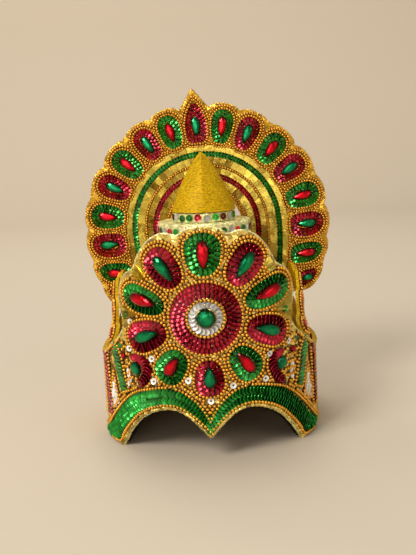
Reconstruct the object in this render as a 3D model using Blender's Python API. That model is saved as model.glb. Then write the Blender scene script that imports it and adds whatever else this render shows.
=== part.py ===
"""Dance crown: a card headpiece with a rosette front, a cloth dome, a tiered top and a petalled halo.

Metres, +Z up, front towards -Y. The origin is the centre of the head opening on the floor plane.
"""
import math

import bpy
import bmesh
from mathutils import Vector
from mathutils.geometry import delaunay_2d_cdt

MM = 0.001

# Head opening: the outer face of the card ring is an ellipse.
HEAD_HALF_WIDTH = 88 * MM
HEAD_HALF_DEPTH = 102 * MM
CARD_THICK = 3 * MM
CLEARANCE = 0.45 * MM

# Front panel and back band, in millimetres of arc from the front centre.
FACE_HALF_ARC = 118 * MM
ROSETTE_HALF_ARC = 75.8 * MM
SIDE_DRAWN = 42.2 * MM
BAND_HEIGHT = 67 * MM
JOINT_GAP = 0.4 * MM
BACK_STEPS = 30
HEM_WIDTH = 3.4 * MM
HEM_RISE = 0.9 * MM

# Rosette on the front panel.
ROSETTE_Z = 106.5 * MM
ROSETTE_RING = 27 * MM
CENTRE_RING = 13.4 * MM
PETAL_INNER = 29.6 * MM
PETAL_EGG = 0.24
BEAD_WIDTH = 2.5 * MM
BEAD_RISE = 1.2 * MM
ROSETTE_STONE_WIDTH = 9.6 * MM
ROSETTE_STONE_SHIFT = -0.4 * MM
CENTRE_STONE_SIZE = 13.4 * MM
CORNER_STONE_LENGTH = 10 * MM
CORNER_STONE_WIDTH = 7 * MM
SIDE_STONE_SIZE = 5.4 * MM
CORNER_ARC = 56 * MM
CORNER_Z = ROSETTE_Z - 42.3 * MM
CORNER_STONE_SHIFT = 2 * MM
SIDE_STONE_ARC = CORNER_ARC + 15.2 * MM
SIDE_STONE_Z = CORNER_Z + 10 * MM
STONE_RISE = 3.2 * MM
STONE_GIRDLE = 1.3 * MM
STONE_TABLE = 0.52
STONE_SIDES = 8

# Lining and dome.
LINING_THICK = 1.5 * MM
LINING_TOP = 62 * MM
LINING_DROP = 1.2 * MM
LINING_LIFT = 0.8 * MM
LINING_STEPS = 72
DOME_THICK = 2 * MM
DOME_FOOT = 62.5 * MM
DOME_TOP = 150 * MM
DOME_SEGMENTS = 36

# Tiers on the dome.
DRUM_RADIUS = 37.6 * MM
DRUM_TOP = 166 * MM
COLLAR_RADIUS = 24.8 * MM
COLLAR_TOP = 174 * MM
CONE_RADIUS = 26.2 * MM
CONE_TOP = 221.6 * MM
TIER_WALL = 2 * MM
TIER_SEGMENTS = 36
CONE_SEGMENTS = 24
TIER_GAP = 0.4 * MM

# Halo card behind the tiers.
HALO_X = 1.4 * MM
HALO_Y = 45 * MM
HALO_Z = 155.4 * MM
HALO_LEAN = math.radians(3.7)
HALO_THICK = 3 * MM
HALO_HOLE = 31.7 * MM
HALO_NOTCH = 101.2 * MM
HALO_SCALLOP = 4.7 * MM
HALO_TIP_RISE = 16.2 * MM
HALO_MARGIN = 4.0 * MM
HALO_PETAL_LENGTH = 30.2 * MM
HALO_TOP_PETAL_RISE = 5.4 * MM
HALO_PETAL_OUTER = HALO_NOTCH + HALO_SCALLOP - HALO_MARGIN
HALO_PETAL_INNER = HALO_PETAL_OUTER - HALO_PETAL_LENGTH
HALO_STONE_RADIUS = HALO_PETAL_OUTER - HALO_PETAL_LENGTH * 0.5132
HALO_STRETCH = 1.44
HALO_STRETCH_FALL = 18.4
HALO_STONE_LENGTH = 17 * MM
HALO_STONE_WIDTH = 8 * MM
HALO_CLEAR = 0.3 * MM
HALO_FOOT = 3.4 * MM

# How much shorter the lowest petal of each arm is, where the card narrows beside the dome.
END_CUT = {-1: HALO_PETAL_LENGTH * 0.51, 1: HALO_PETAL_LENGTH * 0.33}

# Rings of the halo: share of the way from the hole to the petals, width and rise in mm.
HALO_RINGS = (
    (0.0675, 2.3, 1.0),
    (0.3200, 4.8, 0.8),
    (0.5300, 2.3, 1.0),
    (0.7775, 4.8, 0.8),
)

# Side wings standing on the shoulder of the front panel.
WING_THICK = 2.4 * MM
WING_INSET = 2.8 * MM
WING_LEAN = 0.45
WING_LEAN_ABOVE = 0.1
WING_TURN = 92 * MM

# Height from which the wing leans in, as arc and height in mm: the shoulder that it stands on.
WING_FOOT = ((88, 83.1), (94, 80.3), (100, 77.0), (106, 73.6), (118, 70))

# Petals of the rosette: angle from the top, outer end and half-width of the bead row in mm, length
# of the stone in mm and its colour.
ROSETTE_PETALS = (
    (0, 62.2, 13.4, 20.4, "red"),
    (39, 64.6, 12.7, 22.0, "green"),
    (73.2, 71.0, 11.1, 23.6, "red"),
    (105.6, 67.6, 11.1, 22.4, "green"),
    (141.6, 58.8, 10.8, 19.6, "red"),
    (179, 58.0, 10.6, 16.0, "green"),
    (-143.4, 58.2, 10.4, 16.6, "red"),
    (-106.8, 67.0, 10.8, 22.6, "green"),
    (-75.4, 69.4, 10.8, 23.4, "red"),
    (-38.4, 63.4, 12.7, 21.8, "green"),
)

# Petals of the halo: angle from the top in its stretched polar map, half-width in degrees.
HALO_PETALS = (
    (0, 6.3),
    (14.8, 6.5),
    (29.5, 6.5),
    (45.7, 6.8),
    (61.0, 6.8),
    (78.0, 7.3),
    (93.0, 5.6),
    (105.0, 4.6),
    (116.0, 4.0),
)

# Right half of the front panel's edges: arc from the centre and height, in mm. Past the rosette the
# arcs are drawn for a side SIDE_DRAWN wide, and follow the real one.
BOTTOM_EDGE = (
    (0, 17.3),
    (5.5, 23.5),
    (13, 31),
    (20, 36),
    (28, 38.4),
    (37, 37.4),
    (46, 34.4),
    (56, 28.6),
    (63, 22.4),
    (71, 14.6),
    (78, 6.6),
    (83, 0),
)
TOP_EDGE = (
    (0, 171.4),
    (8, 170.7),
    (14, 168.5),
    (18.5, 165.3),
    (24, 167),
    (31, 167),
    (39, 163.6),
    (46, 157.6),
    (52, 150),
    (55.6, 143),
    (59.5, 139.6),
    (66.4, 136.4),
    (72, 130.6),
    (75, 123),
    (75.8, 116),
    (74, 107),
    (71.5, 100),
    (74, 93),
    (80, 87),
    (86, 83),
    (94, 79.4),
    (104, 73.6),
    (112, 69.4),
)

# Bead rows that follow the arches and the sides, as arc and height in mm.
BAND_ROW = (
    (0, 30),
    (4.5, 38.6),
    (10.6, 46.3),
    (21, 53.4),
    (33, 54.8),
    (46.6, 52.2),
    (59, 48.5),
    (70, 42),
    (82, 32.5),
    (95, 21.6),
    (107, 12.4),
    (115, 7.4),
)
STRIP_INNER = ((80.5, 79), (78, 68), (76, 56), (73.6, 45))
STRIP_OUTER = ((90.5, 75), (88.5, 64), (86.4, 52), (83.4, 37))
SIDE_ROW = ((112, 64), (112.8, 50), (113.4, 34), (114, 18))
SIDE_MOTIF = ((97, 58), (103, 38), (107.5, 26), (98.5, 27), (89.4, 34.6), (93, 46))

# Wing outline: arc and height in mm, the lower edge first and then the lobes back to the front.
WING_EDGE = (
    (88, 83.1),
    (94, 80.3),
    (100, 77.0),
    (106, 73.6),
    (111, 79),
    (117, 86),
    (126, 91.6),
    (140, 96.6),
    (156, 100.6),
    (178, 104),
    (184, 112),
    (179, 122.5),
    (171, 124.4),
    (164, 120.6),
    (158, 117),
    (153, 120.6),
    (145, 121.4),
    (138, 117),
    (133.6, 107.6),
    (129, 109.6),
    (121, 108.4),
    (114, 101.6),
    (110.4, 92),
    (105, 93),
    (97, 92.4),
    (90.5, 88.2),
)

# Dome: height as a share of foot to top, and its width as a share of the opening.
DOME_PROFILE = (
    (0.00, 1.000),
    (0.08, 0.982),
    (0.16, 0.944),
    (0.26, 0.904),
    (0.38, 0.860),
    (0.52, 0.796),
    (0.66, 0.710),
    (0.80, 0.610),
    (0.91, 0.525),
    (1.00, 0.462),
)

# Cone: share of the height, share of the base radius, and how far the section nears a diamond.
CONE_PROFILE = (
    (0.00, 1.00, 0.00),
    (0.10, 0.94, 0.05),
    (0.30, 0.78, 0.20),
    (0.52, 0.57, 0.45),
    (0.74, 0.34, 0.70),
    (0.92, 0.13, 0.85),
)

COLOURS = {
    "gold": ((0.72, 0.50, 0.12), 0.6, 0.35),
    "cloth": ((0.74, 0.48, 0.04), 0.1, 0.6),
    "black": ((0.012, 0.012, 0.014), 0.0, 0.9),
    "red": ((0.62, 0.0, 0.012), 0.0, 0.08),
    "green": ((0.0, 0.24, 0.06), 0.0, 0.08),
}


def clear_scene():
    for obj in list(bpy.data.objects):
        bpy.data.objects.remove(obj, do_unlink=True)


def material_for(name, colour):
    """One Principled material for one piece."""
    base, metallic, roughness = COLOURS[colour]
    material = bpy.data.materials.new(name + "_" + colour)
    material.use_nodes = True
    shader = material.node_tree.nodes["Principled BSDF"]
    shader.inputs["Base Color"].default_value = (*base, 1.0)
    shader.inputs["Metallic"].default_value = metallic
    shader.inputs["Roughness"].default_value = roughness
    return material


def add_solid(name, points, faces, colour):
    """A named object from points in metres and faces; its normals are turned outward."""
    mesh = bpy.data.meshes.new(name)
    mesh.from_pydata([tuple(p) for p in points], [], faces)
    work = bmesh.new()
    work.from_mesh(mesh)
    bmesh.ops.triangulate(work, faces=work.faces)
    bmesh.ops.recalc_face_normals(work, faces=work.faces)
    if work.calc_volume(signed=True) < 0:
        bmesh.ops.reverse_faces(work, faces=work.faces)
    work.to_mesh(mesh)
    work.free()
    mesh.materials.append(material_for(name, colour))
    obj = bpy.data.objects.new(name, mesh)
    bpy.context.collection.objects.link(obj)
    return obj


class Ring:
    """The elliptical ring as arc length from the front centre, height and outward offset."""

    STEPS = 1440

    def __init__(self, half_width, half_depth):
        self.half_width = half_width
        self.half_depth = half_depth
        self.arcs = [0.0]
        for i in range(self.STEPS):
            a = math.pi * i / self.STEPS
            b = math.pi * (i + 1) / self.STEPS
            self.arcs.append(self.arcs[-1] + math.dist(self.at_angle(a), self.at_angle(b)))
        self.half = self.arcs[-1]

    def at_angle(self, angle):
        return (self.half_width * math.sin(angle), -self.half_depth * math.cos(angle))

    def angle(self, arc):
        """The ellipse's angle at this arc; arcs past the back go on round it."""
        sign = 1 if arc >= 0 else -1
        rest = abs(arc)
        if rest > self.half:
            return sign * (2 * math.pi - abs(self.angle(2 * self.half - rest)))
        low, high = 0, self.STEPS
        while high - low > 1:
            middle = (low + high) // 2
            if self.arcs[middle] <= rest:
                low = middle
            else:
                high = middle
        share = (rest - self.arcs[low]) / (self.arcs[high] - self.arcs[low])
        return sign * math.pi * (low + share) / self.STEPS

    def place(self, arc, height, offset=0.0):
        angle = self.angle(arc)
        x, y = self.at_angle(angle)
        normal = Vector((x / self.half_width**2, y / self.half_depth**2)).normalized()
        return Vector((x + normal.x * offset, y + normal.y * offset, height))

    def normal(self, arc):
        return (self.place(arc, 0.0, MM) - self.place(arc, 0.0)).normalized()


RING = Ring(HEAD_HALF_WIDTH, HEAD_HALF_DEPTH)


def spline(rows, per_step=6):
    """Points of a smooth curve through the rows, open at both ends."""
    found = []
    last = len(rows) - 1
    for i in range(last):
        p0, p1 = Vector(rows[max(i - 1, 0)]), Vector(rows[i])
        p2, p3 = Vector(rows[i + 1]), Vector(rows[min(i + 2, last)])
        for k in range(per_step):
            t = k / per_step
            point = 2 * p1 + (p2 - p0) * t + (2 * p0 - 5 * p1 + 4 * p2 - p3) * t * t
            found.append((point + (3 * p1 - p0 - 3 * p2 + p3) * t**3) / 2)
    found.append(Vector(rows[-1]))
    return found


def even(points, step):
    """The same open curve with points about one step apart."""
    lengths = [0.0]
    for a, b in zip(points, points[1:]):
        lengths.append(lengths[-1] + (b - a).length)
    count = max(1, round(lengths[-1] / step))
    found = []
    at = 0
    for k in range(count + 1):
        goal = lengths[-1] * k / count
        while at < len(points) - 2 and lengths[at + 1] < goal:
            at += 1
        share = (goal - lengths[at]) / max(lengths[at + 1] - lengths[at], 1e-12)
        found.append(points[at].lerp(points[at + 1], min(share, 1.0)))
    return found


def to_side(point):
    """A point of the front panel's tables, with its arc past the rosette spread over the real side."""
    past = max(0.0, point.x - ROSETTE_HALF_ARC)
    share = (FACE_HALF_ARC - ROSETTE_HALF_ARC) / SIDE_DRAWN
    return Vector((point.x - past + past * share, point.y))


def curve(rows, step):
    """A table in mm as an evenly spaced smooth curve in metres."""
    return even([to_side(p * MM) for p in spline(rows)], step)


def mirrored(points):
    """The left half, from far left to the centre, then the right half."""
    left = [Vector((-p.x, p.y)) for p in reversed(points)]
    return left + list(points[1:])


def offset_path(path, distance, closed):
    """The path moved to its left, with mitred corners."""
    found = []
    count = len(path)
    for i, point in enumerate(path):
        before = path[i - 1] if closed or i > 0 else None
        after = path[(i + 1) % count] if closed or i < count - 1 else None
        sides = []
        if before is not None:
            sides.append((point - before).normalized())
        if after is not None:
            sides.append((after - point).normalized())
        normals = [Vector((-d.y, d.x)) for d in sides]
        total = sum(normals, Vector((0, 0)))
        middle = total.normalized()
        found.append(point + middle * distance / max(middle.dot(normals[0]), 0.62))
    return found


def far_from(point, path, distance):
    """Whether the point keeps this distance from every segment of the closed path."""
    for a, b in zip(path, path[1:] + path[:1]):
        along = b - a
        share = max(0.0, min(1.0, (point - a).dot(along) / max(along.length_squared, 1e-15)))
        if (point - a - along * share).length < distance:
            return False
    return True


def inside(point, path):
    found = False
    for a, b in zip(path, path[1:] + path[:1]):
        if (a.y > point.y) != (b.y > point.y):
            if point.x < a.x + (point.y - a.y) * (b.x - a.x) / (b.y - a.y):
                found = not found
    return found


class Ridge:
    """A bead row or a raised strip along a path on a card."""

    def __init__(self, path, closed, width=BEAD_WIDTH, rise=BEAD_RISE):
        self.closed = closed
        self.rise = rise
        half = width / 2
        if closed:
            self.rims = [offset_path(path, half, True), offset_path(path, -half, True)]
            self.crest = list(path)
            return
        left = offset_path(path, half, False)
        right = offset_path(path, -half, False)
        self.rims = [left + right[::-1]]
        self.crest = list(path)
        self.crest[0] = path[0] + (path[1] - path[0]).normalized() * half
        self.crest[-1] = path[-1] + (path[-2] - path[-1]).normalized() * half

    def loops(self):
        """Each loop with its height and whether it closes."""
        return [(rim, 0.0, True) for rim in self.rims] + [(self.crest, self.rise, self.closed)]


def flat_mesh(outline, loops, spacing):
    """Triangles inside the outline that keep every loop; returns points, heights and faces."""
    points, heights, edges = [], [], []

    def add(path, height, closed):
        start = len(points)
        points.extend(path)
        heights.extend([height] * len(path))
        edges.extend((start + i, start + i + 1) for i in range(len(path) - 1))
        if closed:
            edges.append((start + len(path) - 1, start))

    add(outline, 0.0, True)
    for path, height, closed in loops:
        add(path, height, closed)
    walls = [outline] + [path for path, height, closed in loops if closed]
    xs = [p.x for p in outline]
    ys = [p.y for p in outline]
    columns = max(1, math.ceil((max(xs) - min(xs)) / spacing))
    rows = max(1, math.ceil((max(ys) - min(ys)) / spacing))
    for i in range(1, columns):
        for k in range(1, rows):
            x = min(xs) + (max(xs) - min(xs)) * i / columns
            y = min(ys) + (max(ys) - min(ys)) * k / rows
            free = Vector((x, y))
            if inside(free, outline) and all(far_from(free, path, spacing * 0.42) for path in walls):
                points.append(free)
                heights.append(0.0)
    cdt = delaunay_2d_cdt(points, edges, [], 1, 1e-7)
    known = [heights[origin[0]] if origin else 0.0 for origin in cdt[3]]
    where = {origin: k for k, group in enumerate(cdt[3]) for origin in group}
    border = [where[i] for i in range(len(outline))]
    return cdt[0], known, [tuple(face) for face in cdt[2]], border


def card_solid(name, outline, ridges, place, thickness, spacing, colour):
    """A card of even thickness: ridges on its front face, a plain back, and edge walls."""
    loops = [loop for ridge in ridges for loop in ridge.loops()]
    front, heights, faces, border = flat_mesh(outline, loops, spacing)
    back, _, back_faces, back_border = flat_mesh(outline, [], spacing * 1.25)
    points = [place(p.x, p.y, h) for p, h in zip(front, heights)]
    start = len(points)
    points += [place(p.x, p.y, -thickness) for p in back]
    solid = list(faces)
    solid += [tuple(start + i for i in reversed(face)) for face in back_faces]
    count = len(outline)
    for i in range(count):
        k = (i + 1) % count
        solid.append((border[i], start + back_border[i], start + back_border[k], border[k]))
    return add_solid(name, points, solid, colour)


def cup(name, outer, inner, section, segments, colour):
    """An open-bottomed shell: rows of (radius, height) up the outside, then up the inside."""
    points, faces = [], []
    rows = list(outer) + list(reversed(inner))
    for radius, height in rows:
        for k in range(segments):
            points.append(section(2 * math.pi * k / segments, radius, height))
    top_out, top_in = len(outer) - 1, len(outer)
    for i in range(len(rows)):
        if i == top_out:
            continue
        after = (i + 1) % len(rows)
        for k in range(segments):
            n = (k + 1) % segments
            faces.append((i * segments + k, i * segments + n, after * segments + n, after * segments + k))
    for row, turned in ((top_out, False), (top_in, True)):
        centre = sum((points[row * segments + k] for k in range(segments)), Vector((0, 0, 0)))
        points.append(centre / segments)
        for k in range(segments):
            n = (k + 1) % segments
            ring = (row * segments + k, row * segments + n, len(points) - 1)
            faces.append(ring[::-1] if turned else ring)
    return add_solid(name, points, faces, colour)


def power(value, exponent):
    """The value's size raised to the exponent, with its sign kept."""
    return math.copysign(abs(value) ** exponent, value)


def petal_path(inner, outer, half_width, egg, count=20):
    """An egg with a blunt, narrower end at the inner radius, as (along, across) points."""
    middle, reach = (inner + outer) / 2, (outer - inner) / 2
    found = []
    for k in range(count):
        angle = 2 * math.pi * k / count
        c, s = math.cos(angle), math.sin(angle)
        along = power(c, 0.7 if c < 0 else 1.0)
        across = half_width * power(s, 0.7 if c < 0 else 0.95) * (1 + egg * c)
        found.append((middle + reach * along, across))
    return found


def rosette_point(angle, along, across):
    """Arc and height on the front panel, from polar coordinates about the rosette."""
    turn = math.radians(angle)
    x = along * math.sin(turn) + across * math.cos(turn)
    z = along * math.cos(turn) - across * math.sin(turn)
    return Vector((x, ROSETTE_Z + z))


def circle_path(centre, radius, count):
    angles = [2 * math.pi * k / count for k in range(count)]
    return [centre + Vector((radius * math.cos(a), radius * math.sin(a))) for a in angles]


def bottom_edge(step=4.2 * MM):
    """The front panel's lower edge from the far left to the far right."""
    right = curve(BOTTOM_EDGE, step)
    foot = even([right[-1], Vector((FACE_HALF_ARC, 0.0))], 9 * MM)
    return mirrored(right + foot[1:])


def arch_height(arc):
    """How high the lower edge is at this arc; flat on the floor past the front panel's tips."""
    rows = [to_side(Vector(row) * MM) for row in BOTTOM_EDGE]
    for a, b in zip(rows, rows[1:]):
        if a.x <= abs(arc) <= b.x:
            return a.y + (b.y - a.y) * (abs(arc) - a.x) / (b.x - a.x)
    return 0.0


def face_outline():
    bottom = bottom_edge()
    top = curve(TOP_EDGE, 3.8 * MM)
    top += even([top[-1], Vector((FACE_HALF_ARC, BAND_HEIGHT))], 5 * MM)[1:]
    side = even([bottom[-1], top[-1]], 9 * MM)[1:-1]
    left_side = [Vector((-p.x, p.y)) for p in reversed(side)]
    return bottom + side + list(reversed(mirrored(top))) + left_side[::-1][::-1]


def face_ridges():
    ridges = []
    for angle, outer, half, _, _ in ROSETTE_PETALS:
        egg = petal_path(PETAL_INNER, outer * MM, half * MM, PETAL_EGG)
        ridges.append(Ridge([rosette_point(angle, a, b) for a, b in egg], True))
    centre = Vector((0, ROSETTE_Z))
    ridges.append(Ridge(circle_path(centre, ROSETTE_RING - BEAD_WIDTH * 0.1, 32), True))
    ridges.append(Ridge(circle_path(centre, CENTRE_RING, 20), True))
    ridges.append(Ridge(mirrored(curve(BAND_ROW, 5.4 * MM)), False))
    lower = [p for p in bottom_edge(4.8 * MM) if abs(p.x) < FACE_HALF_ARC - 2 * MM]
    ridges.append(Ridge(offset_path(lower, 3.3 * MM, False), False))
    for side in (-1, 1):
        for rows in (STRIP_INNER, STRIP_OUTER, SIDE_ROW):
            path = curve(rows, 8 * MM)
            ridges.append(Ridge([Vector((side * p.x, p.y)) for p in path], False))
        motif = [to_side(Vector(row) * MM) for row in SIDE_MOTIF]
        motif = [Vector((side * p.x, p.y)) for p in motif]
        ridges.append(Ridge(motif, True))
        corner = circle_path(Vector((0, 0)), 1.0, 16)
        spot = Vector((side * CORNER_ARC, CORNER_Z))
        ridges.append(Ridge([spot + Vector((p.x * 10.2 * MM, p.y * 9.6 * MM)) for p in corner], True))
    return ridges


def build_face_panel():
    card_solid("face_panel", face_outline(), face_ridges(), RING.place, CARD_THICK, 9 * MM, "gold")


def build_back_band():
    """The plain rear half of the ring, with a hem along its top and bottom."""
    start = FACE_HALF_ARC + JOINT_GAP
    length = 2 * RING.half - 2 * start
    half_hem = HEM_WIDTH / 2
    section = [(-CARD_THICK, 0.0), (0.0, 0.0), (HEM_RISE, half_hem), (0.0, HEM_WIDTH)]
    section += [(0.0, BAND_HEIGHT - HEM_WIDTH), (HEM_RISE, BAND_HEIGHT - half_hem)]
    section += [(0.0, BAND_HEIGHT), (-CARD_THICK, BAND_HEIGHT)]
    points = []
    for i in range(BACK_STEPS + 1):
        arc = start + length * i / BACK_STEPS
        points += [RING.place(arc, height, offset) for offset, height in section]
    size = len(section)
    faces = [tuple(range(size)), tuple(reversed(range(len(points) - size, len(points))))]
    for i in range(BACK_STEPS):
        for k in range(size):
            a, b = i * size + k, i * size + (k + 1) % size
            faces.append((a, a + size, b + size, b))
    add_solid("back_band", points, faces, "cloth")


def build_lining():
    """A black card ring inside the wall; it shows as a dark line under the arches."""
    outer = -CARD_THICK - CLEARANCE
    inner = outer - LINING_THICK
    points = []
    for i in range(LINING_STEPS):
        arc = -RING.half + 2 * RING.half * i / LINING_STEPS
        low = max(arch_height(arc) - LINING_DROP, LINING_LIFT)
        for offset, height in ((outer, low), (outer, LINING_TOP), (inner, LINING_TOP), (inner, low)):
            points.append(RING.place(arc, height, offset))
    faces = []
    for i in range(LINING_STEPS):
        for k in range(4):
            a, b = i * 4 + k, i * 4 + (k + 1) % 4
            step = 4 * ((i + 1) % LINING_STEPS) - 4 * i
            faces.append((a, b, b + step, a + step))
    add_solid("lining", points, faces, "black")


def dome_width(height):
    """The dome's width at a height, as a share of its foot."""
    share = (height - DOME_FOOT) / (DOME_TOP - DOME_FOOT)
    if share <= 0:
        return 1.0
    for (h0, w0), (h1, w1) in zip(DOME_PROFILE, DOME_PROFILE[1:]):
        if share <= h1:
            return w0 + (w1 - w0) * (share - h0) / (h1 - h0)
    return 0.0


def dome_radii():
    shrink = CARD_THICK + CLEARANCE
    return HEAD_HALF_WIDTH - shrink, HEAD_HALF_DEPTH - shrink


def build_dome():
    half_width, half_depth = dome_radii()

    def section(angle, radius, height):
        across = half_width + radius[1]
        deep = half_depth + radius[1]
        return Vector((across * radius[0] * math.cos(angle), deep * radius[0] * math.sin(angle), height))

    rise = DOME_TOP - DOME_FOOT
    outer = [((share, 0.0), DOME_FOOT + rise * up) for up, share in DOME_PROFILE]
    inner = [((share, -DOME_THICK), DOME_FOOT + (rise - DOME_THICK) * up) for up, share in DOME_PROFILE]
    cup("dome", outer, inner, section, DOME_SEGMENTS, "cloth")


def round_section(angle, radius, height):
    return Vector((radius * math.cos(angle), radius * math.sin(angle), height))


def build_tier(name, radius, low, top, colour):
    """A short drum, open below, with a rolled upper edge."""
    edge = 0.8 * MM
    outer = [(radius, low), (radius, top - edge), (radius - edge, top)]
    inside_radius = radius - TIER_WALL
    inner = [(inside_radius, low), (inside_radius, top - TIER_WALL)]
    cup(name, outer, inner, round_section, TIER_SEGMENTS, colour)


def build_cone():
    """A folded cloth cone: round at its foot and nearly square at its point."""
    low = COLLAR_TOP + TIER_GAP
    rise = CONE_TOP - low

    def section(angle, radius, height):
        size, square = radius
        corner = 1 / (abs(math.cos(angle)) + abs(math.sin(angle)))
        reach = size * ((1 - square) + square * corner * 1.12)
        return Vector((reach * math.cos(angle), reach * math.sin(angle), height))

    outer = [((CONE_RADIUS * size, square), low + rise * up) for up, size, square in CONE_PROFILE]
    outer.append(((0.5 * MM, 0.9), CONE_TOP))
    inner = [((CONE_RADIUS * size - TIER_WALL, square), low + rise * up) for up, size, square in CONE_PROFILE[:5]]
    cup("cone_cap", outer, inner, section, CONE_SEGMENTS, "cloth")


def halo_map(radius, angle):
    """The halo's stretched polar map: round above, drawn downward below the centre."""
    turn = math.radians(angle)
    x = radius * math.sin(turn)
    z = radius * math.cos(turn)
    if z < 0:
        z *= max(1.0, HALO_STRETCH - HALO_STRETCH_FALL * (radius - HALO_STONE_RADIUS))
    return Vector((x, z))


def halo_place(x, z, height):
    """From the halo's own plane to the crown; height is towards the front."""
    c, s = math.cos(HALO_LEAN), math.sin(HALO_LEAN)
    return Vector((HALO_X + x * c - z * s, HALO_Y - height, HALO_Z + x * s + z * c))


def halo_local(x, z):
    c, s = math.cos(HALO_LEAN), math.sin(HALO_LEAN)
    x, z = x - HALO_X, z - HALO_Z
    return Vector((x * c + z * s, z * c - x * s))


def halo_edge(angle):
    """The scalloped outer radius at an angle."""
    spots = [a for a, _ in HALO_PETALS]
    here = abs(angle)
    near = min(range(len(spots)), key=lambda i: abs(spots[i] - here))
    before = spots[near - 1] if near else -spots[1]
    after = spots[near + 1] if near + 1 < len(spots) else 2 * spots[-1] - spots[-2]
    half = (after - spots[near]) / 2 if here > spots[near] else (spots[near] - before) / 2
    share = min(1.0, abs(here - spots[near]) / half)
    if near == 0:
        return HALO_NOTCH + HALO_TIP_RISE * (1 - share) ** 1.25
    return HALO_NOTCH + HALO_SCALLOP * math.sqrt(1 - share**2)


def dome_half_width_at(height, depth):
    """Half the dome's width in a plane this far behind the centre."""
    half_width, half_depth = dome_radii()
    share = dome_width(height)
    if share <= 0 or depth >= half_depth * share:
        return 0.0
    return half_width * share * math.sqrt(1 - (depth / (half_depth * share)) ** 2)


def halo_cutout(foot_low):
    """The inner edge of the halo, from its lower left end over the hole to its lower right end."""
    front = HALO_Y - BEAD_RISE
    sides = {-1: [], 1: []}
    for side in (-1, 1):
        for step in range(60):
            height = DOME_FOOT + 20 * MM + step * 4 * MM
            half = dome_half_width_at(height, front)
            point = halo_local(side * (half + HALO_CLEAR), height)
            if half > 1 * MM and point.length > HALO_HOLE and point.y > foot_low + 2.5 * MM:
                sides[side].append(point)
    first = math.atan2(sides[-1][-1].x, sides[-1][-1].y)
    last = math.atan2(sides[1][-1].x, sides[1][-1].y)
    steps = 24
    arc = []
    for k in range(1, steps):
        turn = first + (last - first) * k / steps
        arc.append(Vector((HALO_HOLE * math.sin(turn), HALO_HOLE * math.cos(turn))))
    return sides[-1] + arc + sides[1][::-1]


def halo_outline():
    """Scallops round the outside, a rounded foot at each end, and the cut-out over the dome."""
    end = HALO_PETALS[-1][0] + (HALO_PETALS[-1][0] - HALO_PETALS[-2][0]) / 2
    count = 100
    outer = []
    for k in range(count + 1):
        angle = -end + 2 * end * k / count
        outer.append(halo_map(halo_edge(angle), angle))
    low = min(p.y for p in halo_petal(len(HALO_PETALS) - 1, 1, END_CUT[1])) - HALO_FOOT
    inner = halo_cutout(low)
    feet = {}
    for side, tip, root in ((-1, outer[0], inner[0]), (1, outer[-1], inner[-1])):
        across = root.x - tip.x
        shape = ((0.08, 0.45), (0.24, 0.90), (0.46, 1.0), (0.72, 0.96), (0.92, 0.6))
        feet[side] = [Vector((tip.x + across * u, tip.y + (low - tip.y) * v)) for u, v in shape]
    return outer + feet[1] + inner[::-1] + feet[-1][::-1]


def halo_petal(index, side, short=0.0):
    """One petal's bead row; the lowest petals are cut short at their inner end."""
    angle, half = HALO_PETALS[index]
    inner = HALO_PETAL_INNER + short
    outer = HALO_PETAL_OUTER + (HALO_TOP_PETAL_RISE if index == 0 else 0.0)
    middle, reach = (inner + outer) / 2, (outer - inner) / 2
    found = []
    for k in range(16):
        turn = 2 * math.pi * k / 16
        c, s = math.cos(turn), math.sin(turn)
        along = middle + reach * power(c, 0.62 if c < 0 else 0.95)
        across = half * power(s, 0.9 if c > 0 else 0.6) * (1 + 0.06 * c)
        found.append(halo_map(along, side * (angle + across)))
    return found


def halo_rows(outline):
    """The concentric bead and sequin rings, each trimmed short of the halo's inner edge."""
    ridges = []
    for share, width, rise in HALO_RINGS:
        radius = HALO_HOLE + (HALO_PETAL_INNER - HALO_HOLE) * share
        path = []
        for k in range(-140, 141, 7):
            point = halo_map(radius, k)
            if inside(point, outline) and far_from(point, outline, width * MM / 2 + 0.9 * MM):
                path.append(point)
            elif path and k > 0:
                break
        ridges.append(Ridge(path, False, width * MM, rise * MM))
    return ridges


def build_halo():
    outline = halo_outline()
    ridges = halo_rows(outline)
    for index in range(len(HALO_PETALS)):
        for side in (-1, 1) if index else (1,):
            path = halo_petal(index, side, END_CUT[side] if index == len(HALO_PETALS) - 1 else 0.0)
            ridges.append(Ridge(path, True, 2.2 * MM, 1.0 * MM))
    card_solid("halo", outline, ridges, halo_place, HALO_THICK, 13 * MM, "gold")


def wing_foot(arc):
    """Height of the shoulder under the wing at this arc."""
    if arc <= WING_FOOT[0][0] * MM:
        return WING_FOOT[0][1] * MM
    for (a0, z0), (a1, z1) in zip(WING_FOOT, WING_FOOT[1:]):
        if arc <= a1 * MM:
            return (z0 + (z1 - z0) * (arc / MM - a0) / (a1 - a0)) * MM
    return WING_FOOT[-1][1] * MM


def wing_place(side):
    """The wing follows the dome's flank up to WING_TURN, and stands more upright above it."""

    def place(arc, height, depth):
        lean = WING_LEAN * max(0.0, min(height, WING_TURN) - wing_foot(arc))
        lean += WING_LEAN_ABOVE * max(0.0, height - WING_TURN)
        return RING.place(side * arc, height, depth - WING_INSET + WING_THICK - lean)

    return place


def build_wing(name, side):
    rows = [Vector(row) for row in WING_EDGE]
    smooth = [p * MM for p in spline(rows[:4], 3)[:-1]]
    smooth += [p * MM for p in spline(rows[3:] + rows[:1], 3)[:-1]]
    outline = even(smooth + smooth[:1], 4.4 * MM)[:-1]
    card_solid(name, outline, [], wing_place(side), WING_THICK, 9 * MM, "gold")


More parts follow.
